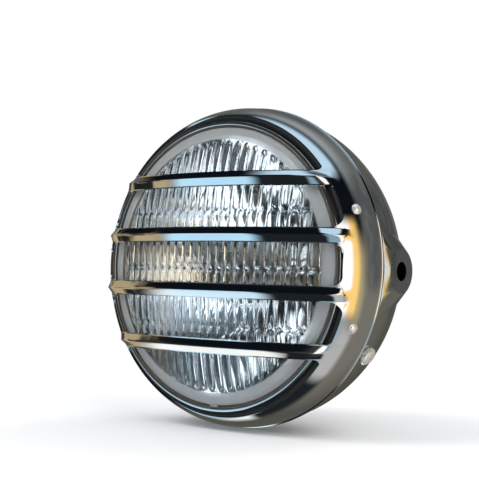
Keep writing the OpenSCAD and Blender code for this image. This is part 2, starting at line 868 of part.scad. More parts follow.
module screw_nut(side) {
    across = nut_af / cos(30);
    far = sqrt(pow(tab_in, 2) - pow(across / 2, 2)) - skin;
    color(steel)
        in_frame()
            screw_place(side)
                translate([0, 0, far - nut_h])
                    difference() {
                        cylinder(h = nut_h, r = across / 2, $fn = 6);
                        translate([0, 0, -1])
                            cylinder(h = nut_h + 2, r = screw_d / 2 + thread_gap);
                    }
}

// Hook welded inside the rim at twelve o'clock, which goes behind the shell's front edge
module top_hook() {
    half = asin(tab_w / 2 / tab_r);
    join_low = body_lap + 2;
    join_high = body_lap + 5;
    d = rim_t + skin;
    color(steel)
        in_frame()
            rotate([0, 0, 90 - half])
                rotate_extrude(angle = 2 * half)
                    polygon([[tab_in, -6], [tab_r, -6], [tab_r, body_lap + seat],
                        [wall_r(join_low, d), join_low], [wall_r(join_high, d), join_high],
                        [wall_r(join_high, d) - tab_t, join_high],
                        [wall_r(join_low, d) - tab_t, join_low], [tab_in, body_lap + seat]]);
}

bucket();
grille_rim();
rim_gasket();
lens();
lens_seal();
lamp_ring();
reflector();
bulb_glass();
bulb_cap();
bulb_insulator();
bulb_terminals();
low_beam_shield();
low_beam_filament();
high_beam_filament();
bulb_clip();
bulb_boot();
cable_grommet();
rivet(rivet_angle);  // rivet_upper_right
rivet(-rivet_angle);  // rivet_lower_right
rivet(180 - rivet_angle);  // rivet_upper_left
rivet(180 + rivet_angle);  // rivet_lower_left
retaining_clip(rivet_angle);  // retaining_clip_upper_right
retaining_clip(-rivet_angle);  // retaining_clip_lower_right
retaining_clip(180 - rivet_angle);  // retaining_clip_upper_left
retaining_clip(180 + rivet_angle);  // retaining_clip_lower_left
rim_screw(0);  // rim_screw_right
rim_screw(180);  // rim_screw_left
screw_tab(0);  // screw_tab_right
screw_tab(180);  // screw_tab_left
screw_nut(0);  // screw_nut_right
screw_nut(180);  // screw_nut_left
top_hook();
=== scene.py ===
"""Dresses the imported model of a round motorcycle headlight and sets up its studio.

The lamp's pieces are drawn in its own axes, in millimetres: x to the right, y up and z forward from
the rim's rear edge. place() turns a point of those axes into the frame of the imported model.
"""

from __future__ import annotations

import logging
import math
from dataclasses import dataclass, field
from enum import Enum
from typing import Sequence

import bmesh
import bpy
from mathutils import Matrix, Vector

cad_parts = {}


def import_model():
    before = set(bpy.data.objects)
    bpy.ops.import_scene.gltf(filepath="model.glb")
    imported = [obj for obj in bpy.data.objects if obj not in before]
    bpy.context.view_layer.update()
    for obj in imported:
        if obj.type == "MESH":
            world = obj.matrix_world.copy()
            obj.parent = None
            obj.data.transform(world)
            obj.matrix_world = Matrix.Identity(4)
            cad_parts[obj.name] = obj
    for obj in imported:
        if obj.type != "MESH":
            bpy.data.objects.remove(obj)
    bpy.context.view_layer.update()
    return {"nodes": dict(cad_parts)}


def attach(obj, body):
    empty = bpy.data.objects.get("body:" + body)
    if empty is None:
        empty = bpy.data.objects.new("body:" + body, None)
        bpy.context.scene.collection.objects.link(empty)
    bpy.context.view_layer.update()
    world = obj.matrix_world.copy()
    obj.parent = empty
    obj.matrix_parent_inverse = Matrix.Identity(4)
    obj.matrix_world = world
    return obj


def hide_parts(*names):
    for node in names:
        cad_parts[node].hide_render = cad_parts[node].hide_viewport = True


log = logging.getLogger("headlight")

MM = 0.001
EAR_BACK = 18.7
SCREW_TURNS = {"right": -31.0, "left": 211.0}
RIVET_TURNS = {"upper_right": 20.5, "lower_right": -20.5, "upper_left": 159.5, "lower_left": 200.5}
Point = tuple[float, float]
Value = "float | tuple | Wire | bpy.types.NodeSocket"


def place(x: float, y: float, z: float) -> Vector:
    """Turns a point of the lamp's own axes into the frame.

    Args:
        x: Distance to the right, in millimetres.
        y: Height over the lamp axis, in millimetres.
        z: Distance forward of the rim's rear edge, in millimetres.

    Returns:
        The same point in the frame, in metres.
    """
    return Vector((x, -z - EAR_BACK, y)) * MM


def arc(centre: Point, radius: float, start: float, end: float, steps: int) -> list[Point]:
    """Lists points on an arc.

    Args:
        centre: Centre of the arc.
        radius: Radius of the arc.
        start: Angle of the first point, in degrees.
        end: Angle of the last point, in degrees.
        steps: Number of stretches between the points.

    Returns:
        The points, steps + 1 of them.
    """
    angles = [math.radians(start + (end - start) * i / steps) for i in range(steps + 1)]
    return [(centre[0] + radius * math.cos(a), centre[1] + radius * math.sin(a)) for a in angles]


def between(first: Point, second: Point, t: float) -> Point:
    """Returns the point at a share of the way between two points."""
    return first[0] + (second[0] - first[0]) * t, first[1] + (second[1] - first[1]) * t


def smooth(t: float) -> float:
    """Returns t eased between 0 and 1 and held outside."""
    t = min(1.0, max(0.0, t))
    return t * t * (3 - 2 * t)


class Wire:
    """One value socket of a shader, with operators that add Math nodes."""

    def __init__(self, shader: Shader, socket: bpy.types.NodeSocket) -> None:
        """Keeps the socket and the shader that it belongs to."""
        self.shader = shader
        self.socket = socket

    def math(self, operation: str, *others: Value) -> Wire:
        """Adds a Math node that takes this value first.

        Args:
            operation: The node's operation.
            others: Its further values.

        Returns:
            The node's result.
        """
        return self.shader.math(operation, self, *others)

    def __add__(self, other: Value) -> Wire:
        """Returns self + other."""
        return self.math("ADD", other)

    def __radd__(self, other: Value) -> Wire:
        """Returns other + self."""
        return self.math("ADD", other)

    def __sub__(self, other: Value) -> Wire:
        """Returns self - other."""
        return self.math("SUBTRACT", other)

    def __rsub__(self, other: Value) -> Wire:
        """Returns other - self."""
        return self.shader.math("SUBTRACT", other, self)

    def __mul__(self, other: Value) -> Wire:
        """Returns self * other."""
        return self.math("MULTIPLY", other)

    def __rmul__(self, other: Value) -> Wire:
        """Returns other * self."""
        return self.math("MULTIPLY", other)

    def ramp(self, low: float, high: float) -> Wire:
        """Returns 0 below low, 1 above high and a smooth rise between them."""
        node = self.shader.node(
            "ShaderNodeMapRange",
            {"interpolation_type": "SMOOTHSTEP"},
            {0: self, 1: low, 2: high, 3: 0.0, 4: 1.0},
        )
        return Wire(self.shader, node.outputs[0])


class Shader:
    """A node tree that is filled by Python expressions."""

    def __init__(self, tree: bpy.types.NodeTree) -> None:
        """Empties the tree and keeps it."""
        self.tree = tree
        tree.nodes.clear()

    def node(self, kind: str, settings: dict | None = None, inputs: dict | None = None) -> bpy.types.Node:
        """Adds a node.

        Args:
            kind: The node's type.
            settings: Its properties, which are set first.
            inputs: Its sockets, by name or number, with a value or a link each.

        Returns:
            The new node.
        """
        node = self.tree.nodes.new(kind)
        for key, value in (settings or {}).items():
            setattr(node, key, value)
        for key, value in (inputs or {}).items():
            socket = node.inputs[key]
            if isinstance(value, Wire):
                self.tree.links.new(value.socket, socket)
            elif isinstance(value, bpy.types.NodeSocket):
                self.tree.links.new(value, socket)
            elif socket.type == "RGBA" and len(value) == 3:
                socket.default_value = (*value, 1.0)
            else:
                socket.default_value = value
        return node

    def math(self, operation: str, *values: Value) -> Wire:
        """Adds a Math node and returns its result."""
        return Wire(self, self.node("ShaderNodeMath", {"operation": operation}, dict(enumerate(values))).outputs[0])

    def mix(self, factor: Value, first: Value, second: Value) -> bpy.types.NodeSocket:
        """Mixes two colours.

        Args:
            factor: 0 for the first colour and 1 for the second.
            first: The first colour.
            second: The second colour.

        Returns:
            The mixed colour.
        """
        node = self.node("ShaderNodeMix", {"data_type": "RGBA"}, {0: factor, 6: first, 7: second})
        return node.outputs[2]

    def noise(self, scale: float, detail: float = 2.0, at: Value | None = None) -> Wire:
        """Returns noise of a scale in Object coordinates, or at a given vector."""
        where = at if at is not None else self.coordinates()
        node = self.node("ShaderNodeTexNoise", {}, {"Vector": where, "Scale": scale, "Detail": detail})
        return Wire(self, node.outputs[0])

    def coordinates(self) -> bpy.types.NodeSocket:
        """Returns Object coordinates."""
        return self.node("ShaderNodeTexCoord").outputs["Object"]

    def axes(self, vector: Value | None = None) -> tuple[Wire, Wire, Wire]:
        """Returns the three parts of a vector, or of the Object coordinates."""
        source = vector if vector is not None else self.coordinates()
        node = self.node("ShaderNodeSeparateXYZ", {}, {0: source})
        return Wire(self, node.outputs[0]), Wire(self, node.outputs[1]), Wire(self, node.outputs[2])

    def bump(self, height: Wire, strength: float, distance: float) -> bpy.types.NodeSocket:
        """Returns a normal that is bumped by a height."""
        node = self.node("ShaderNodeBump", {}, {"Height": height, "Strength": strength, "Distance": distance})
        return node.outputs[0]


class Surface(Enum):
    """The fine structure that a finish carries."""

    POLISHED = "polished plate with faint waves and smears"
    BRUSHED = "fine lines round the lamp axis"
    CAST = "matt skin with a fine grain"
    HATCHED = "fine ribs that stand out from the lamp axis"
    COILED = "tight turns of thin wire"


@dataclass(frozen=True)
class Finish:
    """One solid finish of the lamp.

    Args:
        name: Name of the material.
        colour: Base colour.
        second: Colour of its darker or older patches.
        metallic: 1 for bare metal, 0 otherwise.
        roughness: Lowest roughness.
        spread: How much the roughness rises in smears.
        surface: Its fine structure.
        relief: Strength of that structure.
        dull_inside_with_painted_shade: Whether faces that look at the lamp axis, such as the ear holes and the inside
            of the shell, get painted shade (a colour darkened almost to black) and a duller roughness for their
            unplated skin.
    """

    name: str
    colour: tuple[float, float, float]
    second: tuple[float, float, float]
    metallic: float
    roughness: float
    spread: float
    surface: Surface
    relief: float = 0.2
    dull_inside_with_painted_shade: bool = False

    def build(self) -> bpy.types.Material:
        """Makes the material and returns it."""
        material = bpy.data.materials.new(self.name)
        material.use_nodes = True
        shader = Shader(material.node_tree)
        patches = shader.noise(38.0, 4.0).ramp(0.42, 0.68)
        fine = shader.noise(420.0, 3.0)
        smears = shader.noise(95.0, 5.0).ramp(0.5, 0.8)
        normal = shader.bump(self.height(shader), self.relief, 0.0002)
        colour: Value = shader.mix(patches * 0.8 + fine * 0.2, self.colour, self.second)
        roughness = self.roughness + self.spread * (0.7 * smears + 0.3 * fine)
        if self.dull_inside_with_painted_shade:
            inside = self.inside(shader)
            # Painted shade: faces that look at the lamp axis are darkened almost to black; the roughness below rises
            # for their dull, unplated skin.
            colour = shader.mix(inside, colour, (0.07, 0.07, 0.068))
            roughness = roughness + inside * 0.42
        surface = shader.node(
            "ShaderNodeBsdfPrincipled",
            {},
            {
                "Base Color": colour,
                "Metallic": self.metallic,
                "Roughness": roughness,
                "Normal": normal,
            },
        )
        shader.node("ShaderNodeOutputMaterial", {}, {0: surface.outputs[0]})
        return material

    def inside(self, shader: Shader) -> Wire:
        """Returns 1 where a face looks at a point on the lamp axis and 0 where it looks away; it masks the painted
        shade inside.
        """
        x, y, z = shader.axes()
        across, along, up = shader.axes(shader.node("ShaderNodeNewGeometry").outputs["Normal"])
        return 1.0 - (x * across + (y + EAR_BACK * MM) * along + z * up).ramp(-0.012, 0.0)

    def height(self, shader: Shader) -> Wire:
        """Returns the height of the fine structure."""
        x, y, z = shader.axes()
        if self.surface is Surface.POLISHED:
            return shader.noise(24.0, 1.5) + shader.noise(900.0, 2.0) * 0.02
        if self.surface is Surface.BRUSHED:
            radius = shader.math("SQRT", x * x + z * z)
            lines = shader.node("ShaderNodeCombineXYZ", {}, {0: radius * 6.0, 1: y * 6.0, 2: 0.0})
            return shader.noise(700.0, 2.0, lines.outputs[0])
        if self.surface is Surface.HATCHED:
            turn = shader.math("ARCTAN2", z, x)
            return shader.math("SINE", turn * 520.0) * 0.5 + shader.noise(900.0, 2.0)
        if self.surface is Surface.COILED:
            return shader.math("SINE", y * 16000.0)
        return shader.noise(1300.0, 3.0) + shader.noise(260.0, 2.0) * 0.6


@dataclass(frozen=True)
class Glass:
    """A clear glass.

    Args:
        name: Name of the material.
        tint: Colour of the glass.
        roughness: Roughness of its faces.
        clear_r: Radius round the lamp axis past which its pressed skin is dull, in millimetres.
    """

    name: str
    tint: tuple[float, float, float]
    roughness: float
    clear_r: float = 69.2

    def build(self) -> bpy.types.Material:
        """Makes the material and returns it."""
        material = bpy.data.materials.new(self.name)
        material.use_nodes = True
        shader = Shader(material.node_tree)
        waves = shader.noise(140.0, 2.0)
        dust = shader.noise(60.0, 5.0).ramp(0.55, 0.85)
        x, _, z = shader.axes()
        edge = shader.math("SQRT", x * x + z * z).ramp(self.clear_r * MM, (self.clear_r + 1.2) * MM)
        clear = shader.node(
            "ShaderNodeBsdfPrincipled",
            {},
            {
                "Base Color": shader.mix(dust * 0.4, self.tint, (0.86, 0.87, 0.86)),
                "Roughness": self.roughness + dust * 0.05 + edge * 0.24,
                "IOR": 1.5,
                "Transmission Weight": 1.0,
                "Normal": shader.bump(waves, 0.12, 0.0002),
            },
        )
        dull = shader.node(
            "ShaderNodeBsdfPrincipled",
            {},
            {"Base Color": shader.mix(waves, (0.50, 0.53, 0.53), (0.62, 0.65, 0.66)), "Roughness": 0.3},
        )
        surface = shader.node(
            "ShaderNodeMixShader", {}, {0: edge * 0.45 + dust * 0.03, 1: clear.outputs[0], 2: dull.outputs[0]}
        )
        shader.node("ShaderNodeOutputMaterial", {}, {0: surface.outputs[0]})
        return material


RIM_CHROME = Finish("rim_chrome", (0.80, 0.80, 0.80), (0.76, 0.755, 0.745), 1.0, 0.03, 0.06, Surface.POLISHED, 0.08)
# The shell's last value puts painted shade, with a duller roughness, on its faces that look at the lamp axis.
SHELL_CHROME = Finish(
    "shell_chrome", (0.58, 0.58, 0.56), (0.48, 0.48, 0.455), 1.0, 0.06, 0.09, Surface.POLISHED, 0.14, True
)
RING_CHROME = Finish("ring_chrome", (0.78, 0.78, 0.78), (0.70, 0.69, 0.67), 1.0, 0.08, 0.08, Surface.BRUSHED, 0.08)
FASTENER_CHROME = Finish(
    "fastener_chrome", (0.95, 0.91, 0.85), (0.84, 0.79, 0.72), 0.6, 0.14, 0.12, Surface.CAST, 0.10
)
MIRROR = Finish("mirror_coat", (0.86, 0.86, 0.85), (0.80, 0.79, 0.76), 1.0, 0.05, 0.06, Surface.POLISHED, 0.08)
SEAL = Finish("seal_hatched", (0.105, 0.09, 0.075), (0.16, 0.13, 0.10), 0.0, 0.55, 0.25, Surface.HATCHED, 0.8)
RUBBER = Finish("black_rubber", (0.022, 0.022, 0.023), (0.035, 0.034, 0.032), 0.0, 0.6, 0.2, Surface.CAST, 0.35)
CAP_STEEL = Finish("cap_steel", (0.55, 0.55, 0.54), (0.44, 0.43, 0.41), 1.0, 0.25, 0.2, Surface.BRUSHED, 0.2)
SPRING_STEEL = Finish("spring_steel", (0.50, 0.51, 0.52), (0.40, 0.40, 0.41), 1.0, 0.22, 0.2, Surface.CAST, 0.15)
ZINC_STEEL = Finish("zinc_steel", (0.60, 0.61, 0.62), (0.50, 0.49, 0.46), 1.0, 0.28, 0.2, Surface.CAST, 0.2)
CERAMIC = Finish("ceramic", (0.74, 0.71, 0.65), (0.66, 0.62, 0.55), 0.0, 0.45, 0.2, Surface.CAST, 0.25)
CONTACT = Finish("contact_brass", (0.66, 0.56, 0.36), (0.52, 0.43, 0.27), 1.0, 0.25, 0.2, Surface.CAST, 0.15)
TUNGSTEN = Finish("tungsten", (0.30, 0.30, 0.31), (0.22, 0.22, 0.23), 1.0, 0.35, 0.1, Surface.COILED, 0.6)
LENS_GLASS = Glass("lens_glass", (0.95, 0.97, 0.98), 0.0)
BULB_GLASS = Glass("bulb_glass", (0.97, 0.97, 0.96), 0.0)


class Bench:
    """The modelling steps that every piece shares."""

    @staticmethod
    def deselect() -> None:
        """Leaves edit mode and deselects everything."""
        if bpy.context.mode != "OBJECT":
            bpy.ops.object.mode_set(mode="OBJECT")
        bpy.ops.object.select_all(action="DESELECT")

    @staticmethod
    def pick(piece: bpy.types.Object) -> None:
        """Selects one object alone and makes it active."""
        Bench.deselect()
        piece.select_set(True)
        bpy.context.view_layer.objects.active = piece

    @staticmethod
    def grid(name: str, points: Sequence[Vector], faces: Sequence[Sequence[int]]) -> bpy.types.Object:
        """Makes an object from points and faces.

        Args:
            name: Name of the object.
            points: Its points, in the frame.
            faces: Its faces, as numbers of points.

        Returns:
            The new object.
        """
        mesh = bpy.data.meshes.new(name)
        mesh.from_pydata([tuple(p) for p in points], [], [tuple(f) for f in faces])
        mesh.update()
        piece = bpy.data.objects.new(name, mesh)
        bpy.context.scene.collection.objects.link(piece)
        return piece

    @staticmethod
    def tidy(piece: bpy.types.Object, distance: float = 2e-6) -> None:
        """Merges doubles and turns the faces outwards."""
        Bench.weld(piece, distance)
        bpy.ops.object.mode_set(mode="EDIT")
        bpy.ops.mesh.select_all(action="SELECT")
        bpy.ops.mesh.normals_make_consistent(inside=False)
        bpy.ops.object.mode_set(mode="OBJECT")

    @staticmethod
    def weld(piece: bpy.types.Object, distance: float) -> None:
        """Merges points closer than a distance and leaves the faces as they point."""
        Bench.pick(piece)
        bpy.ops.object.mode_set(mode="EDIT")
        bpy.ops.mesh.select_all(action="SELECT")
        bpy.ops.mesh.remove_doubles(threshold=distance)
        bpy.ops.object.mode_set(mode="OBJECT")

    @staticmethod
    def turn(name: str, points: Sequence[Vector], axis: Vector, steps: int, closed: bool = False) -> bpy.types.Object:
        """Draws a line by extruding from its first point and turns it round an axis through the origin.

        Args:
            name: Name of the object.
            points: The line's points, in metres.
            axis: The axis that it turns round.
            steps: Number of steps in the turn.
            closed: Whether the line's last point joins its first.

        Returns:
            The new object, with its seam still open.
        """
        Bench.deselect()
        bpy.ops.mesh.primitive_plane_add(size=2 * MM, location=points[0])
        piece = bpy.context.object
        piece.name = name
        bpy.ops.object.transform_apply(location=True, rotation=True, scale=True)
        bpy.ops.object.mode_set(mode="EDIT")
        bpy.ops.mesh.select_all(action="SELECT")
        bpy.ops.mesh.merge(type="CENTER")
        for before, after in zip(points, points[1:]):
            bpy.ops.mesh.extrude_region_move(TRANSFORM_OT_translate={"value": after - before})
        if closed:
            bpy.ops.object.mode_set(mode="OBJECT")
            ends = bmesh.new()
            ends.from_mesh(piece.data)
            loose = [v for v in ends.verts if len(v.link_edges) == 1]
            ends.edges.new(loose)
            ends.to_mesh(piece.data)
            ends.free()
            bpy.ops.object.mode_set(mode="EDIT")
        bpy.ops.mesh.select_all(action="SELECT")
        bpy.ops.mesh.spin(steps=steps, angle=2 * math.pi, center=(0, 0, 0), axis=axis)
        bpy.ops.object.mode_set(mode="OBJECT")
        return piece

    @staticmethod
    def spin(name: str, profile: Sequence[Point], steps: int = 192, closed: bool = True) -> bpy.types.Object:
        """Turns a profile of radius and height, in millimetres, round the lamp axis and returns it whole."""
        piece = Bench.turn(name, [place(r, 0.0, z) for r, z in profile], Vector((0, 1, 0)), steps, closed)
        Bench.tidy(piece)
        return piece

    @staticmethod
    def modify(piece: bpy.types.Object, kind: str, **settings: object) -> None:
        """Adds a modifier, sets it and applies it.

        Args:
            piece: The object that it works on.
            kind: The modifier's type.
            settings: Its properties.
        """
        Bench.pick(piece)
        modifier = piece.modifiers.new(kind.lower(), kind)
        for key, value in settings.items():
            setattr(modifier, key, value)
        bpy.ops.object.modifier_apply(modifier=modifier.name)

    @staticmethod
    def cut(piece: bpy.types.Object, tool: bpy.types.Object, operation: str = "DIFFERENCE") -> None:
        """Works one object on another by a Boolean, and drops the tool."""
        Bench.modify(piece, "BOOLEAN", operation=operation, object=tool, solver="EXACT")
        bpy.data.objects.remove(tool)

    @staticmethod
    def join(pieces: Sequence[bpy.types.Object]) -> bpy.types.Object:
        """Joins objects into the first one and returns it."""
        Bench.pick(pieces[0])
        for piece in pieces:
            piece.select_set(True)
        bpy.ops.object.join()
        return pieces[0]

    @staticmethod
    def smooth(piece: bpy.types.Object, angle: float = 30.0) -> None:
        """Shades a piece smooth, with edges sharper than an angle kept."""
        Bench.pick(piece)
        bpy.ops.object.shade_smooth_by_angle(angle=math.radians(angle))

    @staticmethod
    def finish(piece: bpy.types.Object, node: str, slot: str, material: bpy.types.Material) -> None:
        """Dresses a piece and hands it to the frame.

        Args:
            piece: The finished object.
            node: The CAD node that it stands for.
            slot: Not used.
            material: Its material.
        """
        piece.data.materials.clear()
        piece.data.materials.append(material)
        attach(piece, "root")
        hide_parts(node)
        log.info("%s: %d faces", piece.name, len(piece.data.polygons))


@dataclass
class RimShape:
    """The pressed face of the rim: dome, shoulder and side wall, all tangent to each other."""

    dome_r: float = 214.789
    dome_z: float = -169.389
    dome_edge: float = 69.403
    shoulder: Point = (59.7095, 5.48739)
    shoulder_r: float = 30.0
    side_lean: float = 8.8
    side: Point = (38.5855, 2.21723)
    side_r: float = 51.3756
    side_end: float = -1.19
    opening_r: float = 83.7
    opening_lean: float = 36.9

    def lean(self, radius: float) -> float:
        """Returns the angle of the face's normal at a radius, in radians."""
        if radius <= self.dome_edge:
            return math.acos(radius / self.dome_r)
        return math.acos(min(1.0, (radius - self.shoulder[0]) / self.shoulder_r))

    def point(self, x: float, y: float, height: float) -> Vector:
        """Returns the frame point over x and y, lifted off the face by a height."""
        radius = math.hypot(x, y)
        lean = self.lean(radius)
        if radius <= self.dome_edge:
            z = self.dome_z + self.dome_r * math.sin(lean)
        else:
            z = self.shoulder[1] + self.shoulder_r * math.sin(lean)
        out = 0.0 if radius < 1e-9 else (radius + height * math.cos(lean)) / radius
        return place(x * out, y * out, z + height * math.sin(lean))

    def round_point(self, lean: float, turn: float, height: float, on_side: bool) -> Vector:
        """Returns the frame point at an angle of the face and an angle round the lamp axis."""
        centre, radius = (self.side, self.side_r) if on_side else (self.shoulder, self.shoulder_r)
        r = centre[0] + (radius + height) * math.cos(lean)
        z = centre[1] + (radius + height) * math.sin(lean)
        return place(r * math.cos(turn), r * math.sin(turn), z)


@dataclass
class Line:
    """One line of the rim's net, which runs from a bar or a slot's edge over the shoulder.

    Args:
        start: Where the line meets the opening, in x and y.
        offset: Height over the bar's middle, or None off a bar.
        level: Height that the line keeps while it crosses the shoulder, or None.
    """

    start: Point
    offset: float | None = None
    level: float | None = None


@dataclass
class GrilleRim:
    """The chromed rim with its four pressed bars."""

    shape: RimShape = field(default_factory=RimShape)
    bars: tuple[float, ...] = (-43.5, -13.5, 16.5, 46.5)
    bar_half: float = 4.05
    ridge_half: float = 3.45
    ridge_h: float = 2.15
    sheet: float = 1.0
    slot_reach: float = 81.4
    corner_r: float = 5.0
    small_r: float = 1.6
    bead: Point = (89.45, 1.15)
    bead_r: float = 1.15
    stations: int = 64
    corner_steps: int = 8
    offsets: tuple[float, ...] = (-3.8, -3.55, -3.3, -2.2, -1.0, -0.3, 0.0, 0.3, 1.0, 2.2, 3.3, 3.55, 3.8)
    margins: tuple[float, ...] = (0.25, 0.5, 0.75)

    def corner(self, edge: float, radius: float, up: int) -> tuple[Point, float]:
        """Finds a slot's corner.

        Args:
            edge: Height of the slot's straight edge.
            radius: Radius of the corner.
            up: 1 where the slot lies over the edge, -1 where it lies under it.

        Returns:
            The corner's centre, and the angle where it meets the slot's end, in degrees.
        """
        y = edge + up * radius
        on_arc = math.sqrt((self.shape.opening_r - radius) ** 2 - y * y)
        x = min(on_arc, self.slot_reach - radius)
        return (x, y), math.degrees(math.atan2(y, x)) if on_arc <= self.slot_reach - radius else 0.0

    def corner_radius(self, edge: float, other: float) -> float:
        """Returns the radius of a slot's corner at an edge, given the slot's other edge."""
        if edge * other < 0 or abs(edge) < abs(other) < 200.0:
            return self.corner_r
        return self.small_r

    def bar_edge(self, bar: int, up: int) -> list[Point]:
        """Lists the right-hand half of a bar's edge, from its middle to the end of its corner."""
        edge = self.bars[bar] + up * self.bar_half
        nxt = bar + up
        other = self.bars[nxt] - up * self.bar_half if 0 <= nxt < len(self.bars) else up * 200.0
        radius = self.corner_radius(edge, other)
        centre, end = self.corner(edge, radius, up)
        straight = [(centre[0] * i / self.stations, edge) for i in range(self.stations)]
        return straight + arc(centre, radius, -90.0 * up, end, self.corner_steps)

    def crest(self, lean: float) -> float:
        """Returns how much of the ridge is left at an angle of the face."""
        return smooth((math.degrees(lean) - 30.0) / 24.0)

    def lift(self, offset: float | None, lean: float) -> float:
        """Returns the height of the pressed ridge at an offset from a bar's middle."""
        if offset is None:
            return 0.0
        rise = max(0.0, 1.0 - max(abs(offset) - 0.12, 0.0) / self.ridge_half)
        return self.ridge_h * rise * self.crest(lean)

    def slot_end(self, bar: int) -> list[Point]:
        """Lists the points of the end of the opening over a bar, between its two corners."""
        low = self.bar_edge(bar, 1)[-1]
        if bar == len(self.bars) - 1:
            turn = math.degrees(math.atan2(low[1], low[0]))
            return arc((0, 0), self.shape.opening_r, turn, 180.0 - turn, 72)[1:-1]
        high = self.bar_edge(bar + 1, -1)[-1]
        steps = 10
        if abs(low[0] - high[0]) < 1e-6:
            return [(low[0], low[1] + (high[1] - low[1]) * i / steps) for i in range(1, steps)]
        start, end = (math.degrees(math.atan2(p[1], p[0])) for p in (low, high))
        return arc((0, 0), self.shape.opening_r, start, end, steps)[1:-1]

    def bar_lines(self, bar: int) -> list[Line]:
        """Lists the lines that leave a bar's right-hand end, from its lower to its upper edge."""
        low, high = self.bar_edge(bar, -1)[-1], self.bar_edge(bar, 1)[-1]
        reach = [math.hypot(*low), math.hypot(*high)]
        lines: list[Line] = []
        for offset in self.offsets:
            y = self.bars[bar] + offset
            t = (offset + self.bar_half) / (2 * self.bar_half)
            radius = reach[0] + (reach[1] - reach[0]) * t
            lines.append(Line((math.sqrt(radius * radius - y * y), y), offset, y))
        first, last = lines[0].start, lines[-1].start
        below = [Line(between(low, first, t)) for t in self.margins]
        above = [Line(between(last, high, t)) for t in self.margins]
        return [Line(low)] + below + lines + above + [Line(high)]

    def lines(self) -> list[Line]:
        """Lists every line round the opening, counter-clockwise from the lowest bar's right end."""
        right: list[Line] = []
        for bar in range(len(self.bars)):
            right += self.bar_lines(bar)
            if bar < len(self.bars) - 1:
                right += [Line(p) for p in self.slot_end(bar)]
        left = [Line((-l.start[0], l.start[1]), l.offset, l.level) for l in reversed(right)]
        top = [Line(p) for p in self.slot_end(len(self.bars) - 1)]
        low = self.bar_edge(0, -1)[-1]
        turn = math.degrees(math.atan2(low[1], low[0]))
        bottom = [Line(p) for p in arc((0, 0), self.shape.opening_r, -180.0 - turn, turn, 72)[1:-1]]
        return right + top + left + bottom

    def build(self) -> bpy.types.Object:
        """Builds the rim and returns it."""
        points: list[Vector] = []
        faces: list[tuple[int, ...]] = []
        shape = self.shape
        lines = self.lines()
        rows = [math.radians(a) for a, _ in arc_leans(shape)]
        sides = [on_side for _, on_side in arc_leans(shape)]
        columns: list[list[int]] = []
        for line in lines:
            x, y = line.start
            start_r = math.hypot(x, y)
            lean = shape.lean(start_r)
            column = [len(points)]
            points.append(shape.point(x, y, self.lift(line.offset, lean)))
            for row, on_side in zip(rows, sides):
                centre, radius = (shape.side, shape.side_r) if on_side else (shape.shoulder, shape.shoulder_r)
                r = centre[0] + radius * math.cos(row)
                if line.level is None:
                    turn = math.atan2(y, x)
                else:
                    turn = math.asin(line.level / min(r, 88.4))
                    turn = math.pi - turn if x < 0 else turn
                height = 0.0 if on_side else self.lift(line.offset, row)
                column.append(len(points))
                points.append(shape.round_point(row, turn, height, on_side))
            columns.append(column)
        for one, two in zip(columns, columns[1:] + columns[:1]):
            for k in range(len(one) - 1):
                faces.append((one[k], one[k + 1], two[k + 1], two[k]))
        for bar in range(len(self.bars)):
            self.add_bar(bar, points, faces)
        rim = Bench.grid("grille_rim_dressed", points, faces)
        Bench.tidy(rim, 5e-6)
        Bench.modify(rim, "SOLIDIFY", thickness=self.sheet * MM, offset=-1.0)
        Bench.modify(
            rim, "BEVEL", width=0.14 * MM, segments=2, limit_method="ANGLE", angle_limit=math.radians(62)
        )
        Bench.weld(rim, 8e-6)
        Bench.deselect()
        bpy.ops.mesh.primitive_torus_add(
            major_segments=256,
            minor_segments=20,
            major_radius=self.bead[0] * MM,
            minor_radius=self.bead_r * MM,
            location=place(0, 0, self.bead[1]),
            rotation=(math.pi / 2, 0, 0),
        )
        bead = bpy.context.object
        bpy.ops.object.transform_apply(location=True, rotation=True, scale=True)
        rim = Bench.join([rim, bead])
        Bench.smooth(rim, 24.0)
        return rim

    def add_bar(self, bar: int, points: list[Vector], faces: list[tuple[int, ...]]) -> None:
        """Adds one bar's net, whose ends lie on the starts of its lines."""
        edges = [self.bar_edge(bar, -1), self.bar_edge(bar, 1)]
        ends = self.bar_lines(bar)
        steps = len(edges[0]) - 1
        rows: list[list[int]] = []
        for i in range(-steps, steps + 1):
            k, sign = abs(i), -1 if i < 0 else 1
            share = (edges[0][k][0] + edges[1][k][0]) / (edges[0][-1][0] + edges[1][-1][0])
            count = len(self.margins)
            middle = [(line.start[0] * share, line.start[1]) for line in ends[1 + count:-1 - count]]
            across = [edges[0][k]] + [between(edges[0][k], middle[0], t) for t in self.margins]
            across += middle + [between(middle[-1], edges[1][k], t) for t in self.margins] + [edges[1][k]]
            row = []
            for (x, y), line in zip(across, ends):
                row.append(len(points))
                lean = self.shape.lean(math.hypot(x, y))
                points.append(self.shape.point(sign * x, y, self.lift(line.offset, lean)))
            rows.append(row)
        for one, two in zip(rows, rows[1:]):
            for k in range(len(one) - 1):
                faces.append((one[k], two[k], two[k + 1], one[k + 1]))


def arc_leans(shape: RimShape) -> list[tuple[float, bool]]:
    """Lists the rows of the rim's net as an angle of the face and whether it lies on the side wall."""
    first = shape.opening_lean - 2.2
    shoulder = [(first + (shape.side_lean - first) * i / 14, False) for i in range(15)]
    side = [(shape.side_lean + (shape.side_end - shape.side_lean) * i / 8, True) for i in range(1, 9)]
    return shoulder + side


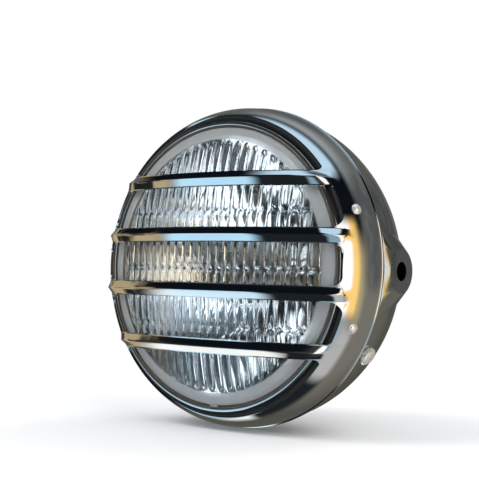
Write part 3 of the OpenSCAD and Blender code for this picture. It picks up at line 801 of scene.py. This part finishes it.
@dataclass
class Lens:
    """The pressed glass lens, smooth outside and fluted inside."""

    radius: float = 76.4
    out_r: float = 230.998
    out_z: float = -192.098
    thick: float = 3.5
    field_r: float = 68.6
    pitch: float = 6.0
    flute: float = 1.15
    bands: tuple[float, ...] = (-32.8, -1.6, 29.7)
    skirt_z: float = 21.9
    columns: int = 276
    rows: int = 84
    key_w: float = 5.5

    def outside(self, r: float) -> float:
        """Returns the height of the outer face at a radius."""
        return self.out_z + math.sqrt(self.out_r**2 - r * r)

    def inside(self, x: float, y: float) -> float:
        """Returns the height of the inner face: a dome with flutes, which end in round arches at each band."""
        r2 = x * x + y * y
        base = self.out_z + math.sqrt((self.out_r - self.thick) ** 2 - r2)
        band = min(abs(y - b) for b in self.bands)
        across = abs(((x / self.pitch) % 1.0) - 0.5) * 2
        arch = 2.6 * math.sqrt(max(0.0, 1.0 - across * across))
        ease = smooth((band - 2.6 + arch) / 1.6)
        rim = smooth((self.field_r - math.sqrt(r2)) / 2.2)
        groove = 1.0 - across**2
        return base - self.flute * (1.0 - groove * ease) * rim

    def build(self) -> bpy.types.Object:
        """Builds the lens and returns it."""
        points: list[Vector] = []
        faces: list[tuple[int, ...]] = []
        field_r = self.field_r
        loops: list[list[int]] = []
        for inner in (False, True):
            net: list[list[int]] = []
            for i in range(self.columns + 1):
                x = field_r * (2 * i / self.columns - 1) * 0.9995
                half = math.sqrt(max(field_r**2 - x * x, 0.01))
                column = []
                for j in range(self.rows + 1):
                    y = half * (2 * j / self.rows - 1)
                    z = self.inside(x, y) if inner else self.outside(math.hypot(x, y))
                    column.append(len(points))
                    points.append(place(x, y, z))
                net.append(column)
            for one, two in zip(net, net[1:]):
                for j in range(self.rows):
                    faces.append((one[j], two[j], two[j + 1], one[j + 1]))
            loop = [c[0] for c in net] + net[-1][1:-1] + [c[-1] for c in reversed(net)] + net[0][-2:0:-1]
            loops.append(loop)
        flat = [points[i].copy() for i in loops[0]]
        rings: list[list[int]] = [loops[0]]
        outer = [(r, self.outside(r)) for r in (70.0, 72.0, 74.0, 75.4)]
        edge = arc((self.radius - 0.7, self.outside(self.radius) - 0.75), 0.7, 78.0, 0.0, 4)
        down = [(self.radius, self.skirt_z + 0.6), (self.radius - 0.6, self.skirt_z)]
        wall = [(self.radius - self.thick + 0.4, self.skirt_z), (self.radius - self.thick, self.skirt_z + 0.4)]
        inner_r = self.out_r - self.thick
        up = [(r, self.out_z + math.sqrt(inner_r**2 - r * r)) for r in (72.8, 71.0, 69.6)]
        for r, z in outer + edge + down + wall + up:
            ring = []
            for p in flat:
                turn = math.atan2(p.z, p.x)
                ring.append(len(points))
                points.append(place(r * math.cos(turn), r * math.sin(turn), z))
            rings.append(ring)
        rings.append(loops[1])
        for one, two in zip(rings, rings[1:]):
            for k in range(len(one)):
                n = (k + 1) % len(one)
                faces.append((one[k], two[k], two[n], one[n]))
        lens = Bench.grid("lens_dressed", points, faces)
        Bench.tidy(lens, 5e-6)
        Bench.deselect()
        bpy.ops.mesh.primitive_cube_add(
            size=1.0,
            location=place(0, -self.radius - 0.1, self.skirt_z + 1.75),
            scale=(self.key_w * MM, 3.4 * MM, 2.6 * MM),
        )
        key = bpy.context.object
        bpy.ops.object.transform_apply(location=True, rotation=True, scale=True)
        Bench.modify(key, "BEVEL", width=0.4 * MM, segments=2)
        Bench.smooth(lens, 42.0)
        return Bench.join([lens, key])


@dataclass
class Shell:
    """The pressed shell with its two ears."""

    radius: float = 88.0
    sheet: float = 1.2
    lap: float = 5.0
    shoulder: Point = (43.0, -8.0)
    shoulder_r: float = 45.0
    end_z: float = 5.456
    end_r: float = 90.056
    turn: float = -17.377
    ear_x: float = 90.0
    face_r: float = 12.5
    drop: float = 12.0
    hole_r: float = 5.2
    screw_r: float = 2.8
    screw_z: float = -9.0
    start_half: float = 28.0
    start_z: float = -4.0
    entry_r: float = 7.5
    entry_angle: float = 40.0

    def profile(self, inset: float) -> list[Point]:
        """Lists the shell's outline from its front edge to its rear pole, moved inward by an inset."""
        front = [(0.0, self.lap + inset * 4), (self.radius - inset, self.lap + inset * 4)]
        steps = [(self.radius - inset, self.lap - 3.0 - i) for i in range(0, 9, 2)]
        shoulder = arc(self.shoulder, self.shoulder_r - inset, 0.0, self.turn, 8)
        end = arc((0.0, self.end_z), self.end_r - inset, self.turn, -90.0, 34)[1:]
        return front + steps + shoulder + end

    def ear(self, side: int, inset: float) -> bpy.types.Object:
        """Makes an ear as the hull of its round face, its foot and its front edge.

        Args:
            side: 1 for the right-hand ear, -1 for the left-hand one.
            inset: How far the form is moved inward.

        Returns:
            The closed ear.
        """
        points: list[Vector] = []
        face_x, foot_x = self.ear_x - inset, self.ear_x - self.drop + inset
        foot_r = self.face_r + self.drop - inset * 2.5
        face_r = self.face_r - inset / 2
        for x, r in ((face_x, face_r - 0.6), (face_x - 0.45, face_r), (foot_x, foot_r)):
            points += [place(side * x, y, z) for y, z in arc((0.0, -EAR_BACK), r, 0.0, 357.5, 143)]
        rise = math.sqrt(self.radius**2 - self.start_half**2)
        for x, half in ((rise - inset, self.start_half), (self.radius - inset - 0.1, self.face_r)):
            points += [place(side * x, s * (half - inset / 2), self.start_z) for s in (-1, 1)]
        ear = Bench.grid("ear", points, [])
        Bench.pick(ear)
        bpy.ops.object.mode_set(mode="EDIT")
        bpy.ops.mesh.select_all(action="SELECT")
        bpy.ops.mesh.convex_hull()
        bpy.ops.object.mode_set(mode="OBJECT")
        Bench.tidy(ear)
        return ear

    def drill(self, at: Vector, along: Vector, radius: float, length: float) -> bpy.types.Object:
        """Makes a round tool for a hole."""
        Bench.deselect()
        turn = along.to_track_quat("Z", "Y").to_euler()
        bpy.ops.mesh.primitive_cylinder_add(
            vertices=72, radius=radius * MM, depth=length * MM, location=at, rotation=turn
        )
        bpy.ops.object.transform_apply(location=True, rotation=True, scale=True)
        return bpy.context.object

    def build(self) -> bpy.types.Object:
        """Builds the shell and returns it."""
        outer = Bench.spin("bucket_dressed", self.profile(0.0), 224, closed=False)
        hollow = Bench.spin("hollow", self.profile(self.sheet), 224, closed=False)
        for side in (1, -1):
            Bench.cut(outer, self.ear(side, 0.0), "UNION")
            Bench.cut(hollow, self.ear(side, self.sheet), "UNION")
        Bench.cut(hollow, self.drill(place(0, 0, -EAR_BACK), Vector((1, 0, 0)), self.hole_r, 200.0), "UNION")
        for angle in SCREW_TURNS.values():
            turn = math.radians(angle)
            out = Vector((math.cos(turn), 0, math.sin(turn)))
            at = place(self.radius * math.cos(turn), self.radius * math.sin(turn), self.screw_z)
            Bench.cut(hollow, self.drill(at, out, self.screw_r, 16.0), "UNION")
        lean = math.radians(self.entry_angle)
        along = Vector((0, math.cos(lean), -math.sin(lean)))
        at = place(0, -self.end_r * math.sin(lean), self.end_z - self.end_r * math.cos(lean))
        Bench.cut(hollow, self.drill(at, along, self.entry_r, 16.0), "UNION")
        Bench.cut(outer, hollow)
        Bench.tidy(outer, 4e-6)
        Bench.modify(outer, "BEVEL", width=0.16 * MM, segments=2, limit_method="ANGLE", angle_limit=math.radians(70))
        Bench.smooth(outer, 17.0)
        return outer


@dataclass
class Rings:
    """The round pieces between the lens and the rim, and the mirror behind the lens."""

    lens_r: float = 76.4
    ring_z: float = 26.2
    ring_r: float = 80.0
    flange_z: float = 16.8
    flange_r: float = 84.2
    sheet: float = 0.8
    focus: float = 27.5
    vertex_z: float = -28.3128
    bowl_z: float = 20.0
    bowl_r: float = 72.9
    neck_r: float = 19.5
    seat_z: float = -32.1105
    edge_in: float = 78.3
    edge_out: float = 79.1
    edge_z: float = 25.0
    seal_profile: tuple[Point, ...] = (
        (71.9, 20.9), (78.2, 20.9), (78.2, 24.8), (78.0, 25.0), (77.6, 24.75),
        (77.1, 24.75), (76.7, 25.0), (76.5, 24.8), (76.5, 21.8), (71.9, 21.8),
    )

    def lamp_ring(self) -> bpy.types.Object:
        """Builds the bright ring round the lens and returns it."""
        lip, top, r = self.lens_r + 1.4, self.ring_z, self.ring_r
        low = self.flange_z
        profile = (
            [(lip, top - self.sheet)]
            + arc((lip + 0.45, top - 0.45), 0.45, 180.0, 90.0, 4)
            + arc((r - 0.55, top - 0.55), 0.55, 90.0, 0.0, 5)
            + [(r, low + 0.4), (r + 0.12, low + 0.12), (r + 0.4, low), (self.flange_r, low)]
            + [(self.flange_r, low - self.sheet), (r - self.sheet, low - self.sheet)]
            + [(r - self.sheet, top - self.sheet)]
        )
        ring = Bench.spin("lamp_ring_dressed", profile, 224)
        Bench.smooth(ring, 35.0)
        return ring

    def seal(self) -> bpy.types.Object:
        """Builds the hatched seal and returns it."""
        seal = Bench.spin("lens_seal_dressed", self.seal_profile)
        Bench.smooth(seal, 35.0)
        return seal

    def mirror(self) -> bpy.types.Object:
        """Builds the bowl of the reflector with its neck and outer edge and returns it."""
        count = 44
        top_r = self.neck_r + 2.0
        bowl: list[Point] = []
        for i in range(count + 1):
            r = top_r + (self.bowl_r - top_r) * i / count
            bowl.append((r, self.vertex_z + r * r / (4 * self.focus)))
        back = [(r + 0.32, z - self.sheet) for r, z in reversed(bowl)]
        neck_z = self.vertex_z + top_r * top_r / (4 * self.focus)
        profile = (
            [(self.neck_r, self.seat_z), (self.neck_r, neck_z - 0.6), (self.neck_r + 0.7, neck_z - 0.1)]
            + bowl
            + [(self.bowl_r, self.bowl_z + self.sheet), (self.edge_in, self.bowl_z + self.sheet)]
            + [(self.edge_in, self.edge_z), (self.edge_out, self.edge_z), (self.edge_out, self.bowl_z)]
            + back
            + [(top_r + self.sheet, self.seat_z + 1.0), (self.neck_r + 4.0, self.seat_z + 1.0),
               (self.neck_r + 4.0, self.seat_z)]
        )
        mirror = Bench.spin("reflector_dressed", profile)
        Bench.smooth(mirror, 35.0)
        return mirror


@dataclass
class Fasteners:
    """The rivets and the two screws of the rim."""

    rivet_lean: float = 20.9214
    rivet_at: Point = (87.7316, 16.2)
    rivet_r: float = 2.8
    rivet_h: float = 1.5
    shank_r: float = 1.5
    screw_at: Point = (88.1, -9.0)
    head_r: float = 5.3
    head_h: float = 3.6
    thread_r: float = 2.5
    screw_end: float = 79.0
    knurls: int = 26

    def upright(self, name: str, profile: Sequence[Point], steps: int) -> bpy.types.Object:
        """Turns a profile of radius and height, in millimetres, round its own Z axis and returns it whole."""
        piece = Bench.turn(name, [Vector((r, 0, z)) * MM for r, z in profile], Vector((0, 0, 1)), steps)
        Bench.tidy(piece, 1e-6)
        return piece

    def stand(self, piece: bpy.types.Object, turn: float, at: Point, lean: float) -> None:
        """Moves an upright piece to its place on the lamp, with its head outwards."""
        angle = math.radians(turn)
        tilt = math.radians(lean)
        out = Vector((math.cos(tilt) * math.cos(angle), -math.sin(tilt), math.cos(tilt) * math.sin(angle)))
        spot = place(at[0] * math.cos(angle), at[0] * math.sin(angle), at[1])
        turned = out.to_track_quat("Z", "Y").to_matrix().to_4x4()
        piece.data.transform(Matrix.Translation(spot) @ turned)

    def rivet(self, name: str, turn: float) -> bpy.types.Object:
        """Builds one rivet and returns it."""
        r, h = self.rivet_r, self.rivet_h
        ball = (r * r + h * h) / (2 * h)
        rise = math.degrees(math.asin(r / ball))
        dome = arc((0.0, 0.1 + h - ball), ball, 90.0, 90.0 - rise + 6.0, 8)
        profile = dome + [(r, 0.32), (r - 0.05, 0.12), (r - 0.2, 0.1), (self.shank_r, 0.1), (self.shank_r, -2.2),
                          (self.shank_r + 0.5, -2.25), (self.shank_r + 0.5, -2.8), (0.0, -2.85)]
        piece = self.upright(name, profile, 40)
        Bench.smooth(piece, 40.0)
        self.stand(piece, turn, self.rivet_at, self.rivet_lean)
        return piece

    def screw(self, name: str, turn: float) -> bpy.types.Object:
        """Builds one rim screw with its crossed recess and rolled thread and returns it."""
        r, h = self.head_r, self.head_h
        base = h * 0.35
        bow = [math.radians(a) for a in range(90, -1, -9)]
        head = [(r * math.cos(a), base + (h - base) * math.sin(a)) for a in bow]
        profile = head + [(r, 0.35), (r - 0.3, 0.02), (self.thread_r, 0.0)]
        depth = self.screw_at[0] - self.screw_end
        pitch = 0.8
        turns = int((depth - 2.6) / pitch)
        for k in range(turns):
            z = -2.2 - k * pitch
            profile += [(self.thread_r, z), (self.thread_r - 0.42, z - pitch * 0.5)]
        profile += [(self.thread_r - 0.3, -depth + 0.1), (self.thread_r - 0.7, -depth), (0.0, -depth)]
        piece = self.upright(name, profile, self.knurls * 2)
        for point in piece.data.vertices:
            low = 0.2 * MM < point.co.z < (base + 1.0) * MM and point.co.xy.length > 4.4 * MM
            step = round(math.atan2(point.co.y, point.co.x) / math.pi * self.knurls)
            if low and step % 2:
                point.co.xy *= 0.92
        for along in ((5.2, 1.1), (1.1, 5.2)):
            Bench.deselect()
            bpy.ops.mesh.primitive_cube_add(
                size=1.0, location=(0, 0, (h + 0.4) * MM), scale=(along[0] * MM, along[1] * MM, 4.0 * MM)
            )
            tool = bpy.context.object
            bpy.ops.object.transform_apply(location=True, rotation=True, scale=True)
            Bench.cut(piece, tool)
        Bench.modify(piece, "BEVEL", width=0.08 * MM, segments=2, limit_method="ANGLE", angle_limit=math.radians(50))
        Bench.smooth(piece, 30.0)
        self.stand(piece, turn, self.screw_at, 0.0)
        return piece


@dataclass
class Bulb:
    """The bulb's glass."""

    seat_z: float = -32.2105
    radius: float = 8.5
    wall: float = 1.0
    tip_z: float = 13.7895

    def glass(self) -> bpy.types.Object:
        """Builds the bulb's glass with its round tip and returns it."""
        start = self.seat_z + 4.0
        tip = self.tip_z - self.radius
        outer = [(0.0, start), (self.radius - 0.5, start), (self.radius, start + 0.5)]
        outer += arc((0.0, tip), self.radius, 0.0, 90.0, 14)
        inner = arc((0.0, tip), self.radius - self.wall, 90.0, 0.0, 14)
        bore = self.radius - self.wall
        inner += [(bore, start + 2.4), (bore - 0.4, start + 2.0), (0.0, start + 2.0)]
        glass = Bench.spin("bulb_glass_dressed", outer, 64, closed=False)
        hollow = Bench.spin("bulb_hollow", inner, 64, closed=False)
        Bench.pick(hollow)
        bpy.ops.object.mode_set(mode="EDIT")
        bpy.ops.mesh.select_all(action="SELECT")
        bpy.ops.mesh.flip_normals()
        bpy.ops.object.mode_set(mode="OBJECT")
        glass = Bench.join([glass, hollow])
        Bench.smooth(glass, 40.0)
        return glass


@dataclass
class Studio:
    """The camera, the lamps, the floor and what the metal mirrors."""

    azimuth: float = 37.3
    elevation: float = -1.16
    roll: float = 1.97
    distance: float = 0.6381
    focal_px: float = 1121.0
    frame_px: tuple[int, int] = (479, 500)
    offset_px: tuple[float, float] = (6.79, 17.68)

    def camera(self) -> None:
        """Sets the camera where the photograph was taken."""
        az, el = math.radians(self.azimuth), math.radians(self.elevation)
        aim = place(0, 0, 0)
        back = Vector((math.sin(az) * math.cos(el), -math.cos(az) * math.cos(el), math.sin(el)))
        level = Vector((math.cos(az), math.sin(az), 0))
        up0 = back.cross(level)
        roll = math.radians(self.roll)
        right = level * math.cos(roll) + up0 * math.sin(roll)
        up = back.cross(right)
        data = bpy.data.cameras.new("camera")
        data.sensor_fit = "VERTICAL"
        data.sensor_height = 24.0
        data.sensor_width = 24.0
        data.lens = self.focal_px / self.frame_px[1] * 24.0
        data.shift_x = -self.offset_px[0] / self.frame_px[1]
        data.shift_y = self.offset_px[1] / self.frame_px[1]
        data.clip_start = 0.01
        camera = bpy.data.objects.new("camera", data)
        bpy.context.scene.collection.objects.link(camera)
        turn = Matrix((right, up, back)).transposed().to_4x4()
        camera.matrix_world = Matrix.Translation(aim + back * self.distance) @ turn
        bpy.context.scene.camera = camera

    def world(self) -> None:
        """Makes a white surround for the camera and a yard with ground, walls and sky for the metal."""
        world = bpy.data.worlds.new("surround")
        bpy.context.scene.world = world
        world.use_nodes = True
        shader = Shader(world.node_tree)
        direction = shader.node("ShaderNodeTexCoord").outputs["Generated"]
        x, y, z = shader.axes(direction)
        clutter = shader.noise(3.0, 3.0, direction)
        low, high = self.ground(shader, x, y, z, clutter), self.above(shader, x, y, z, clutter)
        both = shader.mix(z.ramp(-0.22, -0.02), low, high)
        halo = y.ramp(-0.3, 0.1) * (1.0 - y.ramp(0.2, 0.62)) * x.ramp(0.5, 0.8) * z.ramp(-0.66, -0.44)
        both = shader.mix(halo * (1.0 - z.ramp(0.1, 0.45)), both, (0.33, 0.29, 0.21))
        low_sun = y.ramp(-0.64, -0.5) * (1.0 - (y + z * 0.25).ramp(0.02, 0.4)) * x.ramp(0.58, 0.72)
        low_sun = low_sun * z.ramp(-0.5, -0.37) * (1.0 - z.ramp(0.42, 0.55))
        glow = shader.mix(y.ramp(-0.24, -0.04), (1.3, 1.3, 1.27), (1.25, 0.8, 0.26))
        glow = shader.mix(y.ramp(0.06, 0.24), glow, (0.62, 0.52, 0.2))
        both = shader.mix(low_sun, both, glow)
        path = shader.node("ShaderNodeLightPath")
        shade = x.ramp(0.0, 0.6) * 0.04 + z.ramp(0.4, 0.7) * 0.07
        streaks = (shader.noise(1.7, 3.0, direction) - shade).ramp(0.44, 0.52)
        through = shader.mix(streaks, (0.02, 0.035, 0.05), (2.5, 2.85, 3.2))
        band = (1.0 - z.ramp(0.28, 0.4)) * z.ramp(-0.1, -0.02)
        through = shader.mix(band, through, shader.mix(y.ramp(-0.75, -0.5), (0.02, 0.02, 0.02), (2.2, 1.9, 1.4)))
        soft = shader.mix(Wire(shader, path.outputs["Is Glossy Ray"]), (0.62, 0.63, 0.65), both)
        soft = shader.mix(Wire(shader, path.outputs["Is Transmission Ray"]), soft, through)
        colour = shader.mix(Wire(shader, path.outputs["Is Camera Ray"]), soft, (1.0, 1.0, 1.0))
        surface = shader.node("ShaderNodeBackground", {}, {"Color": colour, "Strength": 1.0})
        shader.node("ShaderNodeOutputWorld", {}, {0: surface.outputs[0]})

    def above(self, shader: Shader, x: Wire, y: Wire, z: Wire, clutter: Wire) -> bpy.types.NodeSocket:
        """Mixes what stands over the horizon: dark eaves in front, a patch of sky on top and grey walls behind."""
        wall = shader.mix(clutter.ramp(0.38, 0.62), (0.095, 0.105, 0.106), (0.155, 0.158, 0.15))
        wall = shader.mix(z.ramp(0.6, 0.95), wall, (0.40, 0.44, 0.47))
        front = shader.mix(z.ramp(0.2, 0.45), (0.05, 0.048, 0.045), (0.004, 0.006, 0.009))
        front = shader.mix((1.0 - x.ramp(-0.86, -0.76)) * clutter.ramp(0.46, 0.54), front, (0.50, 0.40, 0.24))
        both = shader.mix(y.ramp(0.25, 0.5), front, wall)
        sky = z.ramp(0.79, 0.9) * x.ramp(-0.52, -0.4) * (1.0 - y.ramp(0.14, 0.34))
        sky = sky * (y + 0.45 * x).ramp(-0.27, -0.2)
        return shader.mix(sky, both, (0.62, 0.86, 1.05))

    def ground(self, shader: Shader, x: Wire, y: Wire, z: Wire, clutter: Wire) -> bpy.types.NodeSocket:
        """Mixes what lies under the horizon: bright ground in front, dark strips in it and a dim floor behind."""
        bright = shader.mix((y * 1.0 - z * 0.6).ramp(0.0, 0.45), (0.60, 0.95, 1.2), (1.2, 1.22, 1.2))
        lit = x.ramp(-0.84, -0.74) * (1.0 - x.ramp(-0.40, -0.30)) + x.ramp(0.28, 0.45) * 0.45
        front = shader.mix(lit, (0.015, 0.018, 0.022), bright)
        zebra = (1.0 - x.ramp(-0.84, -0.74)) * clutter.ramp(0.46, 0.52)
        front = shader.mix(zebra, front, (0.55, 0.44, 0.27))
        behind = shader.mix(x.ramp(-0.3, 0.45) * 0.85 + clutter * 0.15, (0.09, 0.09, 0.078), (0.22, 0.212, 0.18))
        return shader.mix(y.ramp(0.2, 0.45), front, behind)

    def floor(self) -> None:
        """Lays a white floor that keeps the lamp's shadow and fades into the background."""
        Bench.deselect()
        bpy.ops.mesh.primitive_plane_add(size=6.0, location=(0, 0, -0.0909))
        floor = bpy.context.object
        floor.name = "floor"
        bpy.ops.object.transform_apply(location=True, rotation=True, scale=True)
        floor.visible_glossy = False
        floor.visible_transmission = False
        material = bpy.data.materials.new("floor")
        material.use_nodes = True
        shader = Shader(material.node_tree)
        x, y, _ = shader.axes()
        away = shader.math("SQRT", x * x + y * y).ramp(0.25, 0.75)
        paper = shader.node(
            "ShaderNodeBsdfPrincipled",
            {},
            {
                "Base Color": shader.mix(shader.noise(90.0), (0.92, 0.92, 0.92), (0.95, 0.95, 0.95)),
                "Roughness": 0.9,
                "Specular IOR Level": 0.0,
            },
        )
        white = shader.node("ShaderNodeEmission", {}, {"Color": (1.0, 1.0, 1.0), "Strength": 1.0})
        both = shader.node("ShaderNodeMixShader", {}, {0: away, 1: paper.outputs[0], 2: white.outputs[0]})
        shader.node("ShaderNodeOutputMaterial", {}, {0: both.outputs[0]})
        floor.data.materials.append(material)

    def lamp(self, name: str, at: tuple[float, float, float], size: float, power: float) -> None:
        """Adds one soft lamp that looks at the headlight and shows in no mirror."""
        data = bpy.data.lights.new(name, "AREA")
        data.shape = "DISK"
        data.size = size
        data.energy = power
        lamp = bpy.data.objects.new(name, data)
        lamp.location = at
        lamp.rotation_euler = (-Vector(at)).to_track_quat("-Z", "Y").to_euler()
        lamp.visible_glossy = False
        lamp.visible_transmission = False
        lamp.visible_camera = False
        bpy.context.scene.collection.objects.link(lamp)

    def build(self) -> None:
        """Builds the whole studio."""
        scene = bpy.context.scene
        scene.view_settings.view_transform = "Standard"
        self.camera()
        self.world()
        self.floor()
        self.lamp("key", (-0.5, -0.9, 1.1), 0.9, 9.0)
        self.lamp("fill", (0.9, -0.4, 0.8), 1.0, 5.0)
        self.lamp("back", (0.1, 0.9, 0.9), 0.9, 5.0)


def dress(nodes: dict[str, bpy.types.Object], materials: dict[Finish | Glass, bpy.types.Material]) -> None:
    """Gives each carried-over CAD node its material.

    Args:
        nodes: The CAD nodes by name.
        materials: The built materials by finish.
    """
    finishes: dict[str, Finish | Glass] = {
        "rim_gasket": RUBBER,
        "bulb_cap": CAP_STEEL,
        "bulb_insulator": CERAMIC,
        "bulb_terminals": CONTACT,
        "low_beam_shield": CAP_STEEL,
        "low_beam_filament": TUNGSTEN,
        "high_beam_filament": TUNGSTEN,
        "bulb_clip": SPRING_STEEL,
        "bulb_boot": RUBBER,
        "cable_grommet": RUBBER,
        "screw_tab": ZINC_STEEL,
        "screw_nut": ZINC_STEEL,
        "top_hook": ZINC_STEEL,
        "retaining_clip": SPRING_STEEL,
    }
    for name, node in nodes.items():
        for start, finish in finishes.items():
            if name.startswith(start):
                node.data.materials.clear()
                node.data.materials.append(materials[finish])
                log.info("%s keeps its solid, in %s", name, finish.name)


def main() -> None:
    """Builds the dressed headlight and its studio."""
    logging.basicConfig(level=logging.INFO, format="%(message)s")
    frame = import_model()
    Bench.deselect()
    Studio().build()
    finishes = (RIM_CHROME, SHELL_CHROME, RING_CHROME, FASTENER_CHROME, MIRROR, SEAL, RUBBER, CAP_STEEL,
                SPRING_STEEL, ZINC_STEEL, CERAMIC, CONTACT, TUNGSTEN, LENS_GLASS, BULB_GLASS)
    materials = {finish: finish.build() for finish in finishes}
    dress(frame["nodes"], materials)
    Bench.finish(GrilleRim().build(), "grille_rim", "rim_chrome", materials[RIM_CHROME])
    Bench.finish(Lens().build(), "lens", "lens_glass", materials[LENS_GLASS])
    Bench.finish(Shell().build(), "bucket", "shell_chrome", materials[SHELL_CHROME])
    rings = Rings()
    Bench.finish(rings.lamp_ring(), "lamp_ring", "ring_metal", materials[RING_CHROME])
    Bench.finish(rings.seal(), "lens_seal", "seal", materials[SEAL])
    Bench.finish(rings.mirror(), "reflector", "mirror_metal", materials[MIRROR])
    Bench.finish(Bulb().glass(), "bulb_glass", "bulb_glass", materials[BULB_GLASS])
    fasteners = Fasteners()
    for where, turn in RIVET_TURNS.items():
        piece = fasteners.rivet("rivet_" + where + "_dressed", turn)
        Bench.finish(piece, "rivet_" + where, "fastener_chrome", materials[FASTENER_CHROME])
    for where, turn in SCREW_TURNS.items():
        piece = fasteners.screw("rim_screw_" + where + "_dressed", turn)
        Bench.finish(piece, "rim_screw_" + where, "fastener_chrome", materials[FASTENER_CHROME])


if __name__ == "__main__":
    main()
